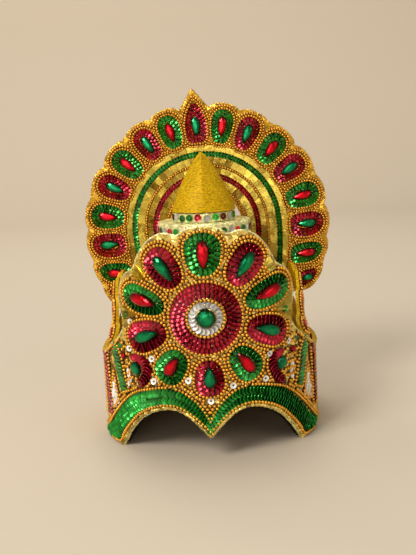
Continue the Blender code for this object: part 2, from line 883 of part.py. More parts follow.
def pear(length, width, sides, point=0.62):
    """A pear outline with its point at the inner end, as (along, across)."""
    found = []
    for k in range(sides):
        turn = 2 * math.pi * (k + 0.5) / sides
        taper = ((1 + math.cos(turn)) / 2) ** point * 0.85 + 0.15
        across = width / 2 * math.sin(turn) * (0.35 + 0.83 * taper)
        found.append((length / 2 * math.cos(turn), across))
    return found


def build_stone(name, centre, along, across, out, outline, rise, colour):
    """A cut stone on its own base: flat back, straight girdle, one row of facets and a table."""
    points = []
    for scale, height in ((1.0, 0.0), (1.0, STONE_GIRDLE), (STONE_TABLE, rise)):
        for a, b in outline:
            points.append(centre + along * a * scale + across * b * scale + out * height)
    count = len(outline)
    faces = [tuple(reversed(range(count))), tuple(range(2 * count, 3 * count))]
    for level in (0, count):
        for k in range(count):
            n = (k + 1) % count
            faces.append((level + k, level + n, level + count + n, level + count + k))
    add_solid(name, points, faces, colour)


def wall_stone(name, arc, height, angle, outline, rise, colour):
    """A stone on the front panel, its long axis turned by the angle from straight up."""
    out = RING.normal(arc)
    side = Vector((-out.y, out.x, 0.0))
    up = Vector((0, 0, 1))
    turn = math.radians(angle)
    along = side * math.sin(turn) + up * math.cos(turn)
    across = side * math.cos(turn) - up * math.sin(turn)
    centre = RING.place(arc, height, CLEARANCE)
    build_stone(name, centre, along, across, out, outline, rise, colour)


def build_stones():
    for index, (angle, outer, _, length, colour) in enumerate(ROSETTE_PETALS):
        along = (PETAL_INNER + outer * MM) / 2 + ROSETTE_STONE_SHIFT
        spot = rosette_point(angle, along, 0.0)
        outline = pear(length * MM, ROSETTE_STONE_WIDTH, STONE_SIDES)
        wall_stone(f"rosette_stone_{index + 1:02d}", spot.x, spot.y, angle, outline, STONE_RISE, colour)
    disc = [tuple(p) for p in circle_path(Vector((0, 0)), CENTRE_STONE_SIZE / 2, 12)]
    wall_stone("centre_stone", 0.0, ROSETTE_Z, 0, disc, STONE_RISE, "green")
    small = [tuple(p) for p in circle_path(Vector((0, 0)), SIDE_STONE_SIZE / 2, 8)]
    bean = pear(CORNER_STONE_LENGTH, CORNER_STONE_WIDTH, STONE_SIDES, 0.3)
    for side, label in ((-1, "left"), (1, "right")):
        arc = side * (CORNER_ARC + CORNER_STONE_SHIFT)
        height = CORNER_Z + CORNER_STONE_SHIFT
        wall_stone("corner_stone_" + label, arc, height, side * 40, bean, 2.6 * MM, "green")
        wall_stone("side_stone_" + label, side * SIDE_STONE_ARC, SIDE_STONE_Z, 0, small, 2.2 * MM, "red")
    build_halo_stones()


def build_halo_stones():
    """One stone in each petal, the wide end outwards; the end petals take a shorter one."""
    number = 1
    for index, (angle, _) in enumerate(HALO_PETALS):
        for side in (-1, 1) if index else (1,):
            radius, length, width = HALO_STONE_RADIUS, HALO_STONE_LENGTH, HALO_STONE_WIDTH
            if index == len(HALO_PETALS) - 1:
                radius = (HALO_PETAL_INNER + END_CUT[side] + HALO_PETAL_OUTER) / 2
                length = (HALO_PETAL_OUTER - HALO_PETAL_INNER - END_CUT[side]) * 0.52
                width = length * 0.62
            here = halo_map(radius, side * angle)
            ahead = (halo_map(radius + 4 * MM, side * angle) - here).normalized()
            centre = halo_place(here.x, here.y, CLEARANCE)
            along = halo_place(here.x + ahead.x, here.y + ahead.y, CLEARANCE) - centre
            out = Vector((0, -1, 0))
            colour = "green" if index % 2 == 0 else "red"
            name = f"halo_stone_{number:02d}"
            outline = pear(length, width, STONE_SIDES)
            build_stone(name, centre, along, out.cross(along), out, outline, 2.8 * MM, colour)
            number += 1


def main():
    clear_scene()
    build_face_panel()
    build_back_band()
    build_lining()
    build_dome()
    build_tier("drum", DRUM_RADIUS, DOME_TOP + TIER_GAP, DRUM_TOP, "gold")
    build_tier("collar", COLLAR_RADIUS, DRUM_TOP + TIER_GAP, COLLAR_TOP, "gold")
    build_cone()
    build_halo()
    build_wing("wing_left", -1)
    build_wing("wing_right", 1)
    build_stones()


main()
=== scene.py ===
"""Dance crown: foil, beads, sequins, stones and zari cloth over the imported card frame.

Metres, +Z up, the rosette faces -Y.
"""
import math
from functools import partial

import bmesh
import bpy
import numpy as np
from mathutils import Matrix, Vector, noise


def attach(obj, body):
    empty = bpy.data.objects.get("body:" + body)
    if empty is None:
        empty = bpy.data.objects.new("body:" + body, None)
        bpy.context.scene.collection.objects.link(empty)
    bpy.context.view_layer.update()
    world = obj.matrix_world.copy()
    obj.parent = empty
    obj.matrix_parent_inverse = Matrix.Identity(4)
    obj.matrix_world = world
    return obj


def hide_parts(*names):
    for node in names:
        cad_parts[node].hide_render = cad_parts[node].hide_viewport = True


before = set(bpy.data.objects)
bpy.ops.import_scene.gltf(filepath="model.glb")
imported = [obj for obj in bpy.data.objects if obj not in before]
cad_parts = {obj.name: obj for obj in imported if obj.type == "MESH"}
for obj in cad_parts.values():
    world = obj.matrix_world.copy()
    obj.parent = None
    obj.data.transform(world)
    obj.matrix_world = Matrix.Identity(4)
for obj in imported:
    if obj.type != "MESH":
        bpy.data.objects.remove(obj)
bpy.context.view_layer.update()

bl_info = {
    "name": "Dance crown",
    "version": (1, 0, 0),
    "blender": (4, 5, 0),
    "location": "View3D > Sidebar > Crown",
    "description": "Dresses a card dance crown with foil, beads, sequins, stones and cloth",
    "category": "Add Mesh",
}

MM = 0.001

# Spacing of the points on an outline and on a long row, and a step for finding directions.
FINE = 0.8 * MM
ROW_STEP = 1.5 * MM
NUDGE = 0.05 * MM

# The card frame that the trimmings are sewn to, as in the CAD.
HEAD_HALF_WIDTH = 88 * MM
HEAD_HALF_DEPTH = 102 * MM
ROSETTE = (0.0, 106.5 * MM)
ROSETTE_RING = 26.75 * MM
CENTRE_RING = 13.4 * MM
PETAL_INNER = 29.6 * MM
PETAL_EGG = 0.24
DOME_FOOT = 62.5 * MM
DOME_TOP = 150 * MM
DOME_HALF = (84.55 * MM, 98.55 * MM)
DRUM = (37.6 * MM, 150.4 * MM, 166 * MM)
COLLAR = (24.8 * MM, 166.4 * MM, 174 * MM)
CONE = (26.2 * MM, 174.4 * MM, 221.6 * MM)
HALO_CENTRE = (1.4 * MM, 45 * MM, 155.4 * MM)
HALO_LEAN = math.radians(3.7)
HALO_PETAL_OUTER = 101.9 * MM
HALO_PETAL_LENGTH = 30.2 * MM
HALO_PETAL_INNER = HALO_PETAL_OUTER - HALO_PETAL_LENGTH
HALO_STONE_RADIUS = HALO_PETAL_OUTER - HALO_PETAL_LENGTH * 0.5132
HALO_STRETCH = 1.44
HALO_STRETCH_FALL = 18.4
END_CUT = {-1: HALO_PETAL_LENGTH * 0.51, 1: HALO_PETAL_LENGTH * 0.33}
WING_THICK = 2.4 * MM
WING_INSET = 2.8 * MM
WING_LEAN = 0.45
WING_LEAN_ABOVE = 0.1
WING_TURN = 92 * MM
WING_FOOT = ((88, 83.1), (94, 80.3), (100, 77.0), (106, 73.6), (118, 70))

# Petals of the rosette: angle from the top, outer end and half-width of the bead row in mm, length
# of the stone in mm and its colour.
ROSETTE_PETALS = (
    (0, 62.2, 13.4, 20.4, "red"), (39, 64.6, 12.7, 22.0, "green"), (73.2, 71.0, 11.1, 23.6, "red"),
    (105.6, 67.6, 11.9, 22.4, "green"), (141.6, 59.4, 11.8, 19.6, "red"), (179, 58.4, 11.2, 16.0, "green"),
    (-143.4, 59.0, 12.0, 16.6, "red"), (-106.8, 67.0, 12.4, 22.6, "green"), (-75.4, 69.4, 10.8, 23.4, "red"),
    (-38.4, 63.4, 12.7, 21.8, "green"),
)

# Petals of the halo: angle from the top and half-width, in degrees.
HALO_PETALS = (
    (0, 6.3), (14.8, 6.5), (29.5, 6.5), (45.7, 6.8), (61.0, 6.8), (78.0, 7.3), (93.0, 5.6), (105.0, 4.6),
    (116.0, 4.0),
)
LAST_PETAL = len(HALO_PETALS) - 1
# Each halo petal by its index and side; the top one stands in the middle.
HALO_SIDES = ((0, 1), *((index, side) for index in range(1, len(HALO_PETALS)) for side in (-1, 1)))

# Right half of the pointed top petal's bead line: radius in mm and angle in degrees.
TOP_HALO_PETAL = (
    (71.7, 0.0), (71.7, 3.2), (72.3, 5.0), (74.6, 6.3), (79, 6.9), (85, 6.7), (91, 6.0), (97, 4.6),
    (102, 3.1), (106, 1.6), (109.4, 0.0),
)

# Right half of the panel's rows: arc from the centre and height, in mm.
BOTTOM_EDGE = (
    (0, 17.3), (5.5, 23.5), (13, 31), (20, 36), (28, 38.4), (37, 37.4), (46, 34.4), (56, 28.6), (63, 22.4),
    (71, 14.6), (78, 6.6), (83, 0),
)
BAND_ROW = (
    (0, 30), (4.5, 38.6), (10.6, 46.3), (21, 53.4), (33, 54.8), (46.6, 52.2), (59, 48.5), (70, 42),
    (82, 32.5), (95, 21.6), (107, 12.4), (115, 7.4),
)
# Where the lower bead row runs on along the floor, past the arch's foot.
LOW_TAIL = ((81.6, 6.4), (84.4, 3.6), (88.6, 2.3), (95, 1.9), (104, 1.9))
STRIP_MIDDLE = ((85.8, 81.4), (83.8, 73.4), (81.6, 64.2), (78.8, 54.4), (75.4, 45.6))
# How far each side's green strip lies from that line, in mm.
STRIP_SHIFT = {-1: (-2.6, 0.0), 1: (2.6, -2.4)}
SHOULDER_ROW = ((79, 85), (86, 80.6), (94, 76.4), (103, 70.6), (110, 66.6))
SIDE_ROW = ((112.2, 66), (112.6, 52), (113.2, 36), (113.6, 19))
SIDE_STRIPE = {
    -1: ((105.5, 68), (104.5, 60), (102.8, 50), (100.8, 40), (98.8, 31), (97, 22)),
    1: ((104.6, 68), (105.4, 60), (106.2, 50), (107, 40), (107.6, 31), (108, 22)),
}
LEAF_ROW = ((93.4, 58), (98.6, 43), (100.6, 27.6), (94, 29.4), (86.6, 37), (89.6, 47))
# The leaves and their bead row lie this much nearer the front on the left, in mm.
LEFT_SHIFT = 3.0
# White leaf sequins on each side: arc and height in mm, the way they point in degrees, length in mm.
LEAVES = (
    (93.4, 50, 82, 10.6), (91.0, 42, 64, 10.6), (95.6, 41, 98, 10.6), (94.2, 34, 52, 10.6),
    (98.4, 33, 100, 10.6), (90, 36.6, 32, 10.6), (70.2, 61.5, 72, 7.8), (69.4, 55, 104, 7.8),
)

# Crimson crescents beside the rosette, then single sequins and small stones.
CRESCENTS = {
    -1: ((-60.2, 74.6), (-54.6, 75), (-49.4, 72), (-47.2, 66.6), (-49.4, 60.2), (-55, 54.8)),
    1: ((57.6, 75), (52.2, 72.2), (49.8, 67), (51.8, 60.8), (55.8, 54.8), (60.6, 50.6)),
}
WHITE_SPOTS = (
    (-64.4, 80.9), (-42.4, 75.8), (-41.8, 58.8), (-14.6, 61.2), (0.9, 45.6), (17.4, 56.0), (43.0, 57.2),
    (47.3, 75.2), (67.0, 80.9), (-61.4, 101.6),
)
GREEN_SPOTS = ((-76.4, 80.6), (77.0, 80.6), (-66.6, 106.4), (64.6, 106.0))
CORNER_STONE = (58.0, 66.2)
SIDE_STONE = (71.2, 74.2)

# From one bead to the next, and the width of the dark pad under each: thread, and painted shade between the
# beads.
PANEL_STEP = 2.72 * MM
PANEL_BED = 3.2 * MM
HALO_STEP = 2.32 * MM
HALO_BED = 3.0 * MM
WING_STEP = 2.5 * MM
WING_BED = 2.8 * MM
# From the middle of a crescent or a stripe to its own bead row, and to the nearest other bead.
CRESCENT_ROW = 5.3 * MM
CRESCENT_ROOM = 5.0 * MM
STRIPE_ROW = 4.3 * MM
STRIPE_ROOM = 3.9 * MM
# Level rows on the foil that is left: half their length, then lowest, highest and spacing in mm.
FILL_HALF = 84 * MM
FILL_ROWS = (26, 84, 2.5)

# Crumpled foil in the notches between petals: angle, spread at both ends in degrees, radii in mm.
FANS = ((-57.2, 5, 17, 51, 65.0), (-91.2, 4, 16, 53, 71.0), (89.4, 5, 20, 51, 72.0), (56.2, 4, 12, 54, 64.5))

# Sequins on the panel, the lowest first. Disc: radius and height in mm. Petals: inset and height in mm.
# Band: share of the way from its lower to its upper row, and height in mm.
DISC_RINGS = ((16.9, 0.95), (20.3, 1.2), (23.7, 1.45))
PETAL_ROUNDS = ((6.9, 1.0), (3.4, 1.4))
BAND_MIDDLE = 0.5
BAND_ROUNDS = ((BAND_MIDDLE, 1.15), (0.25, 1.4), (0.71, 1.5))
# The band's middle row shows only this far from the centre, where the band is wide enough.
BAND_MIDDLE_FROM = 46 * MM
# How unevenly the overlapping sequins lie: turn and tip, in radians.
LAID = (0.12, 0.09)

# The halo's ribbons: inner and outer radius in mm and width of a fold in degrees.
RIBBONS = ((36.0, 42.0, 7), (47.0, 51.6, 6), (54.3, 60.2, 5.4), (65.4, 69.9, 6))
HALO_BEAD_RINGS = (34.4, 52.9)
HALO_FOOT_RING = 71.4
HALO_SEQUIN_RINGS = ((44.5, "crimson"), (62.8, "green"))
HALO_ROUNDS = ((6.0, 0.85), (3.0, 1.2))

# Wing rows: arc and height in mm.
WING_LOBES = (
    (
        (94, 82.4), (100, 79.4), (105.2, 77.6), (108.2, 81.5), (109, 87.6), (104.5, 90.6), (97, 90.0),
        (92.6, 86.6),
    ),
    (
        (112.8, 83.6), (118, 89), (126, 93.4), (131, 97), (131.4, 104.3), (128.5, 107), (121.4, 106),
        (115.8, 100), (113, 92),
    ),
    (
        (135.8, 98), (145, 99.9), (154, 102), (155.6, 110), (152, 117.6), (145, 118.8), (139.4, 115.2),
        (136, 107),
    ),
    (
        (159.2, 103.4), (170, 104.8), (178, 106.4), (181.4, 112), (177.4, 120), (171, 121.8),
        (165, 118.4), (160, 114),
    ),
)

# Sequins round the tiers: distance under the rim in mm, count, first place and width in mm, colours in turn.
TIERS = (
    ("drum", DRUM, 5.4, 36, 16.2, 5.2, ("green", "silver", "crimson")),
    ("collar", COLLAR, 4.0, 22, -11.4, 5.7, ("green", "crimson", "silver")),
)

# Share of the way up and of the width, and for the cone how square it is there.
DOME_PROFILE = (
    (0.00, 1.000), (0.08, 0.982), (0.16, 0.944), (0.26, 0.904), (0.38, 0.860), (0.52, 0.796), (0.66, 0.710),
    (0.80, 0.610), (0.91, 0.525), (1.00, 0.462),
)
CONE_PROFILE = (
    (0.00, 1.00, 0.00), (0.10, 0.94, 0.05), (0.30, 0.78, 0.20), (0.52, 0.57, 0.45), (0.74, 0.34, 0.70),
    (0.92, 0.13, 0.85), (0.99, 0.02, 0.90),
)

# Lamps: name, place, size in metres, watts and colour.
LAMPS = (
    ("key", (-0.95, -1.15, 1.35), 0.7, 26.0, "#FFFAF2"),
    ("fill", (1.4, -1.2, 0.7), 1.0, 4.0, "#FFF6E8"),
    ("front", (-0.3, -1.7, 0.35), 0.8, 4.0, "#FFFAF2"),
    ("top", (-0.1, 0.35, 1.9), 0.9, 11.0, "#FFFAF2"),
    ("backdrop", (-0.4, 1.1, 1.7), 1.0, 16.5, "#FFF8EE"),
)

# The camera: distance, height and step to the side, pitch, roll and yaw, and its reach in pixels
# for a frame this many pixels high.
CAMERA_AWAY = 680 * MM
CAMERA_HEIGHT = 236.2 * MM
CAMERA_ACROSS = 0.96 * MM
CAMERA_TURN = (9.86, 2.76, 1.18)
CAMERA_PIXELS = 834.8
FRAME_HEIGHT = 555
SENSOR = 36

HEXES = {
    "foil": "#F6D473",
    "deep_foil": "#DEAC3A",
    "ribbon": "#F2DA5E",
    # The pale film, paler still as painted light where the front light falls on the drum and the collar.
    "pale_foil": "#FFF4AC",
    "bead": "#F2B038",
    # The pads under the beads: thread, darkened as painted shade between them.
    "thread": "#3A1E08",
    "crimson": "#C01834",
    "leaf_green": "#28A038",
    "silver": "#F2F0EA",
    "red_stone": "#E6001C",
    "green_stone": "#009458",
    "zari": "#F6C400",
    "lining": "#050404",
    "lining_nap": "#181512",
    "floor": "#C7BBA9",
    "daylight": "#FFFAF2",
}

# Foil finishes: pale and deep tone as colour and factor, which are painted light and painted shade on the
# facets, facet in mm, crease and share of metal.
FOILS = {
    "foil_card": (("foil", 1.2), ("foil", 0.4), 3.2, 0.8, 0.75),
    "halo_card": (("deep_foil", 1.1), ("deep_foil", 0.75), 3.2, 0.5, 0.9),
    "pale_foil": (("pale_foil", 1.1), ("pale_foil", 0.68), 2.4, 0.6, 0.3),
    "halo_ribbon": (("ribbon", 1.0), ("deep_foil", 0.3), 5, 0.2, 0.9),
}

# Sequin finishes: colour, factors of the darkest and the lightest copy, and share of metal; the dark end is
# also painted shade where sequins overlap and the light end painted light on their raised edges.
SEQUINS = {
    "crimson_sequins": ("crimson", 0.12, 1.4, 0.75),
    "green_sequins": ("leaf_green", 0.12, 1.4, 0.75),
    "silver_sequins": ("silver", 0.35, 1.25, 0.1),
    "white_sequins": ("silver", 0.85, 1.25, 0.1),
}


def linear(hexa):
    """An sRGB hex colour as linear red, green, blue and alpha."""
    found = []
    for i in (1, 3, 5):
        c = int(hexa[i : i + 2], 16) / 255
        found.append(c / 12.92 if c <= 0.04045 else ((c + 0.055) / 1.055) ** 2.4)
    return (*found, 1.0)


# Flat lines on a card.


def smooth_line(rows, step=ROW_STEP):
    """A smooth open curve through the rows in mm, with points one step apart, in metres."""
    rows = np.array(rows, float) * MM
    last = len(rows) - 1
    found = []
    for i in range(last):
        p0, p1, p2, p3 = rows[max(i - 1, 0)], rows[i], rows[i + 1], rows[min(i + 2, last)]
        for t in np.linspace(0, 1, 12, endpoint=False):
            point = 2 * p1 + (p2 - p0) * t + (2 * p0 - 5 * p1 + 4 * p2 - p3) * t**2
            found.append((point + (3 * p1 - p0 - 3 * p2 + p3) * t**3) / 2)
    found.append(rows[-1])
    return even(np.array(found), step, False)


def even(path, step, closed, count=0):
    """The same path with points about one step apart, or with this count of steps."""
    path = np.asarray(path, float)
    if closed:
        path = np.vstack([path, path[:1]])
    lengths = np.concatenate([[0], np.cumsum(np.linalg.norm(np.diff(path, axis=0), axis=1))])
    count = count or max(2, round(lengths[-1] / step))
    at = np.linspace(0, lengths[-1], count + 1)
    if closed:
        at = at[:-1]
    return np.stack([np.interp(at, lengths, path[:, k]) for k in range(path.shape[1])], axis=1)


def both_sides(path):
    """A right half and its mirror image as one line from left to right."""
    left = path[::-1] * np.array([-1, 1])
    return np.vstack([left, path[1:]])


def side_line(rows, side, step=ROW_STEP):
    """A smooth row on the left or the right side, from one that is given for the right."""
    return smooth_line(rows, step) * [side, 1]


def headings(path, closed):
    """The direction of travel at each point, as an angle."""
    if closed:
        step = np.roll(path, -1, axis=0) - np.roll(path, 1, axis=0)
    else:
        step = np.gradient(path, axis=0)
    return np.arctan2(step[:, 1], step[:, 0])


def beside(path, distance, closed):
    """The path moved to its left."""
    turn = headings(path, closed)
    return path + distance * np.stack([-np.sin(turn), np.cos(turn)], axis=1)


def within(points, outline):
    """Which points lie inside the closed outline."""
    found = np.zeros(len(points), bool)
    ahead = np.roll(outline, -1, axis=0)
    for a, b in zip(outline, ahead):
        if a[1] == b[1]:
            continue
        between = (a[1] > points[:, 1]) != (b[1] > points[:, 1])
        found ^= between & (points[:, 0] < a[0] + (points[:, 1] - a[1]) * (b[0] - a[0]) / (b[1] - a[1]))
    return found


def distances(points, path, closed=True):
    """How far each point lies from the path."""
    ahead = np.roll(path, -1, axis=0) if closed else path[1:]
    start = path if closed else path[:-1]
    best = np.full(len(points), 1.0)
    for a, b in zip(start, ahead):
        along = b - a
        share = np.clip(((points - a) @ along) / max(along @ along, 1e-15), 0, 1)
        best = np.minimum(best, np.linalg.norm(points - a - share[:, None] * along, axis=1))
    return best


# From flat to the crown.


class Wall:
    """The card ring: arc from the front centre, height, and offset out of the card."""

    angles = np.linspace(0, math.pi, 1441)
    rim = np.stack([HEAD_HALF_WIDTH * np.sin(angles), -HEAD_HALF_DEPTH * np.cos(angles)], axis=1)
    arcs = np.concatenate([[0], np.cumsum(np.linalg.norm(np.diff(rim, axis=0), axis=1))])

    @classmethod
    def place(cls, u, v, h):
        angle = np.sign(u) * np.interp(np.abs(u), cls.arcs, cls.angles)
        x, y = HEAD_HALF_WIDTH * np.sin(angle), -HEAD_HALF_DEPTH * np.cos(angle)
        nx, ny = x / HEAD_HALF_WIDTH**2, y / HEAD_HALF_DEPTH**2
        size = np.hypot(nx, ny)
        return np.stack([x + nx / size * h, y + ny / size * h, v + 0 * h], axis=1)

    @classmethod
    def flat(cls, points):
        """Arc, height and offset of points near the card."""
        x, y = points[:, 0], points[:, 1]
        grade = 2 * np.hypot(x / HEAD_HALF_WIDTH**2, y / HEAD_HALF_DEPTH**2)
        offset = ((x / HEAD_HALF_WIDTH) ** 2 + (y / HEAD_HALF_DEPTH) ** 2 - 1) / grade
        angle = np.arctan2(x / HEAD_HALF_WIDTH, -y / HEAD_HALF_DEPTH)
        arc = np.sign(angle) * np.interp(np.abs(angle), cls.angles, cls.arcs)
        return np.stack([arc, points[:, 2], offset], axis=1)


def wing_place(side):
    """The wing leans in from the shoulder under it, and stands more upright above WING_TURN."""
    foot = np.array(WING_FOOT) * MM

    def place(u, v, h):
        lean = WING_LEAN * np.maximum(0.0, np.minimum(v, WING_TURN) - np.interp(u, foot[:, 0], foot[:, 1]))
        lean = lean + WING_LEAN_ABOVE * np.maximum(0.0, v - WING_TURN)
        return Wall.place(side * u, v, h - WING_INSET + WING_THICK - lean)

    return place


def halo_place(u, v, h):
    c, s = math.cos(HALO_LEAN), math.sin(HALO_LEAN)
    x, y, z = HALO_CENTRE
    return np.stack([x + u * c - v * s, y - h + 0 * u, z + u * s + v * c], axis=1)


def halo_flat(points):
    c, s = math.cos(HALO_LEAN), math.sin(HALO_LEAN)
    x, z = points[:, 0] - HALO_CENTRE[0], points[:, 2] - HALO_CENTRE[2]
    return np.stack([x * c + z * s, z * c - x * s, HALO_CENTRE[1] - points[:, 1]], axis=1)


def halo_map(radius, angle):
    """The halo's polar map: round above, drawn downward below its centre."""
    turn = np.radians(angle)
    x, z = radius * np.sin(turn), radius * np.cos(turn)
    drawn = np.maximum(1.0, HALO_STRETCH - HALO_STRETCH_FALL * (radius - HALO_STONE_RADIUS))
    return np.stack([x, np.where(z < 0, z * drawn, z)], axis=-1)


def cylinder_place(radius):
    """Round a tier: arc from the front, height, and offset outwards."""

    def place(u, v, h):
        turn = u / radius
        return np.stack([(radius + h) * np.sin(turn), -(radius + h) * np.cos(turn), v + 0 * h], axis=1)

    return place


def rosette_point(angle, along, across):
    turn = math.radians(angle)
    x = along * math.sin(turn) + across * math.cos(turn)
    z = along * math.cos(turn) - across * math.sin(turn)
    return np.stack([ROSETTE[0] + x, ROSETTE[1] + z], axis=-1)


def unit(vectors):
    """The vectors brought to length one."""
    return vectors / np.linalg.norm(vectors, axis=1)[:, None]


def power(values, exponent):
    """The values' sizes raised to the exponent, with their signs kept."""
    return np.sign(values) * np.abs(values) ** exponent


def inset_line(path, inset):
    """A closed line moved inwards, or outwards where inset is negative."""
    ahead = np.roll(path, -1, axis=0)
    area = np.sum(path[:, 0] * ahead[:, 1] - ahead[:, 0] * path[:, 1])
    moved = beside(path, inset * math.copysign(1, area), True)
    return even(moved[distances(moved, path) > abs(inset) * 0.94], FINE, True)


def rosette_petal(index, inset=0.0):
    """A petal's bead line, or a line inset from it."""
    angle, outer, half, _, _ = ROSETTE_PETALS[index]
    turn = np.linspace(0, 2 * math.pi, 120, endpoint=False)
    c, s = np.cos(turn), np.sin(turn)
    middle, reach = (PETAL_INNER + outer * MM) / 2, (outer * MM - PETAL_INNER) / 2
    along = middle + reach * power(c, np.where(c < 0, 0.7, 1.0))
    across = half * MM * power(s, np.where(c < 0, 0.7, 0.95)) * (1 + PETAL_EGG * c)
    path = even(rosette_point(angle, along, across), FINE, True)
    return inset_line(path, inset) if inset else path


def ring_line(centre, radius):
    turn = np.linspace(0, 2 * math.pi, 120, endpoint=False)
    return np.stack([centre[0] + radius * np.sin(turn), centre[1] + radius * np.cos(turn)], axis=1)


def halo_petal(index, side, inset=0.0):
    """A halo petal's bead line; the top one is pointed and the lowest ones are short."""
    if index == 0:
        rows = np.array(TOP_HALO_PETAL)
        right = halo_map(rows[:, 0] * MM, rows[:, 1])
        path = np.vstack([right, (right * np.array([-1, 1]))[::-1][1:-1]])
    else:
        angle, half = HALO_PETALS[index]
        inner = HALO_PETAL_INNER + (END_CUT[side] if index == LAST_PETAL else 0.0)
        middle, reach = (inner + HALO_PETAL_OUTER) / 2, (HALO_PETAL_OUTER - inner) / 2
        turn = np.linspace(0, 2 * math.pi, 96, endpoint=False)
        c, s = np.cos(turn), np.sin(turn)
        along = middle + reach * power(c, np.where(c < 0, 0.62, 0.95))
        across = half * power(s, np.where(c > 0, 0.9, 0.6)) * (1 + 0.06 * c)
        path = halo_map(along, side * (angle + across))
    path = even(path, FINE, True)
    return inset_line(path, inset) if inset else path


# Meshes.


def deselect():
    if bpy.context.object and bpy.context.object.mode != "OBJECT":
        bpy.ops.object.mode_set(mode="OBJECT")
    for obj in bpy.context.selected_objects:
        obj.select_set(False)


def add_object(name, data):
    obj = bpy.data.objects.new(name, data)
    bpy.context.collection.objects.link(obj)
    return obj


def make_object(name, points, faces):
    mesh = bpy.data.meshes.new(name)
    mesh.from_pydata(np.asarray(points).tolist(), [], faces)
    return add_object(name, mesh)


def select_only(obj):
    deselect()
    obj.select_set(True)
    bpy.context.view_layer.objects.active = obj


def smooth(obj, degrees=40):
    select_only(obj)
    bpy.ops.object.shade_smooth_by_angle(angle=math.radians(degrees))
    deselect()


def dress(obj, finish, slot, *nodes):
    """Gives a finished piece its material and its body, and hides the CAD nodes that it stands for."""
    obj.data.materials.clear()
    obj.data.materials.append(finish_for(finish))
    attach(obj, "root")
    if nodes:
        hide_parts(*nodes)


def points_of(obj):
    found = np.empty(len(obj.data.vertices) * 3)
    obj.data.vertices.foreach_get("co", found)
    return found.reshape(-1, 3)


def set_points(obj, points):
    obj.data.vertices.foreach_set("co", np.asarray(points, float).ravel())
    obj.data.update()


def normals_of(obj):
    found = np.empty(len(obj.data.vertices) * 3)
    obj.data.vertex_normals.foreach_get("vector", found)
    return found.reshape(-1, 3)


def mark(obj, name, values):
    """Gives each point a number for the material to read."""
    obj.data.attributes.new(name, "FLOAT", "POINT").data.foreach_set("value", np.ravel(values))


def wrinkles(points, size, seed):
    """Signed noise at each point, with features of about this size."""
    shift = Vector((seed * 3.1, seed * 1.7, seed * 2.3))
    return np.array([noise.noise(Vector(p) / size + shift) for p in points])


def apply_modifiers(obj):
    select_only(obj)
    for modifier in list(obj.modifiers):
        bpy.ops.object.modifier_apply(modifier=modifier.name)
    deselect()


def give_wall(obj, thickness):
    """Gives a sheet its thickness, inwards from its face."""
    wall = obj.modifiers.new("wall", "SOLIDIFY")
    wall.thickness = thickness
    wall.offset = -1
    return wall


def crease(obj, points, depth):
    """Sets the points, each moved out along its normal by its depth."""
    set_points(obj, points + normals_of(obj) * depth[:, None])


def face_outwards(obj):
    work = bmesh.new()
    work.from_mesh(obj.data)
    bmesh.ops.recalc_face_normals(work, faces=work.faces)
    work.to_mesh(obj.data)
    work.free()


def merged(mesh):
    """A CAD node's loose triangles joined at their corners."""
    work = bmesh.new()
    work.from_mesh(mesh)
    bmesh.ops.remove_doubles(work, verts=work.verts, dist=1e-6)
    return work


def card_copy(node, name, cuts):
    """A finer copy of a CAD node's mesh."""
    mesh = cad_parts[node].data.copy()
    mesh.name = name
    work = merged(mesh)
    bmesh.ops.subdivide_edges(work, edges=work.edges, cuts=cuts, use_grid_fill=True)
    work.to_mesh(mesh)
    work.free()
    for key in [a.name for a in mesh.attributes if a.name.startswith("custom_normal")]:
        mesh.attributes.remove(mesh.attributes[key])
    return add_object(name, mesh)


def front_rim(node, flat):
    """The outer border of a card's front face, as flat points."""
    work = merged(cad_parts[node].data)
    work.verts.ensure_lookup_table()
    places = flat(np.array([v.co for v in work.verts]))
    front = np.abs(places[:, 2]) < 0.05 * MM
    behind = -0.5 * MM
    ahead = {}
    for edge in work.edges:
        a, b = (v.index for v in edge.verts)
        if front[a] and front[b] and len(edge.link_faces) == 2:
            depths = [min(places[v.index, 2] for v in f.verts) for f in edge.link_faces]
            if (depths[0] < behind) != (depths[1] < behind):
                ahead.setdefault(a, []).append(b)
                ahead.setdefault(b, []).append(a)
    work.free()
    loops = []
    left = set(ahead)
    while left:
        loop = []
        nearby = [min(left)]
        while nearby:
            loop.append(nearby[0])
            left.discard(nearby[0])
            nearby = [k for k in ahead[loop[-1]] if k in left]
        loops.append(places[loop, :2])
    return max(loops, key=len)


# Modelling steps.


def edit(action="SELECT"):
    """Into edit mode, with all of the mesh selected or none of it."""
    bpy.ops.object.mode_set(mode="EDIT")
    bpy.ops.mesh.select_all(action=action)


def scale_by(x, y, z=1):
    """Scales what is selected about the origin."""
    bpy.ops.transform.resize(value=(x, y, z), center_override=(0, 0, 0))


def pull_edges(height):
    bpy.ops.mesh.extrude_edges_move(TRANSFORM_OT_translate={"value": (0, 0, height)})


def pull_faces(height):
    bpy.ops.mesh.extrude_region_move(TRANSFORM_OT_translate={"value": (0, 0, height)})


def close_up():
    """Turns all faces outwards and leaves edit mode."""
    bpy.ops.mesh.select_all(action="SELECT")
    bpy.ops.mesh.normals_make_consistent(inside=False)
    bpy.ops.object.mode_set(mode="OBJECT")


# Patterns modelled once.


def pattern_of(obj):
    """A modelled pattern as points and faces; its object goes."""
    found = points_of(obj), [tuple(p.vertices) for p in obj.data.polygons]
    bpy.data.objects.remove(obj)
    return found


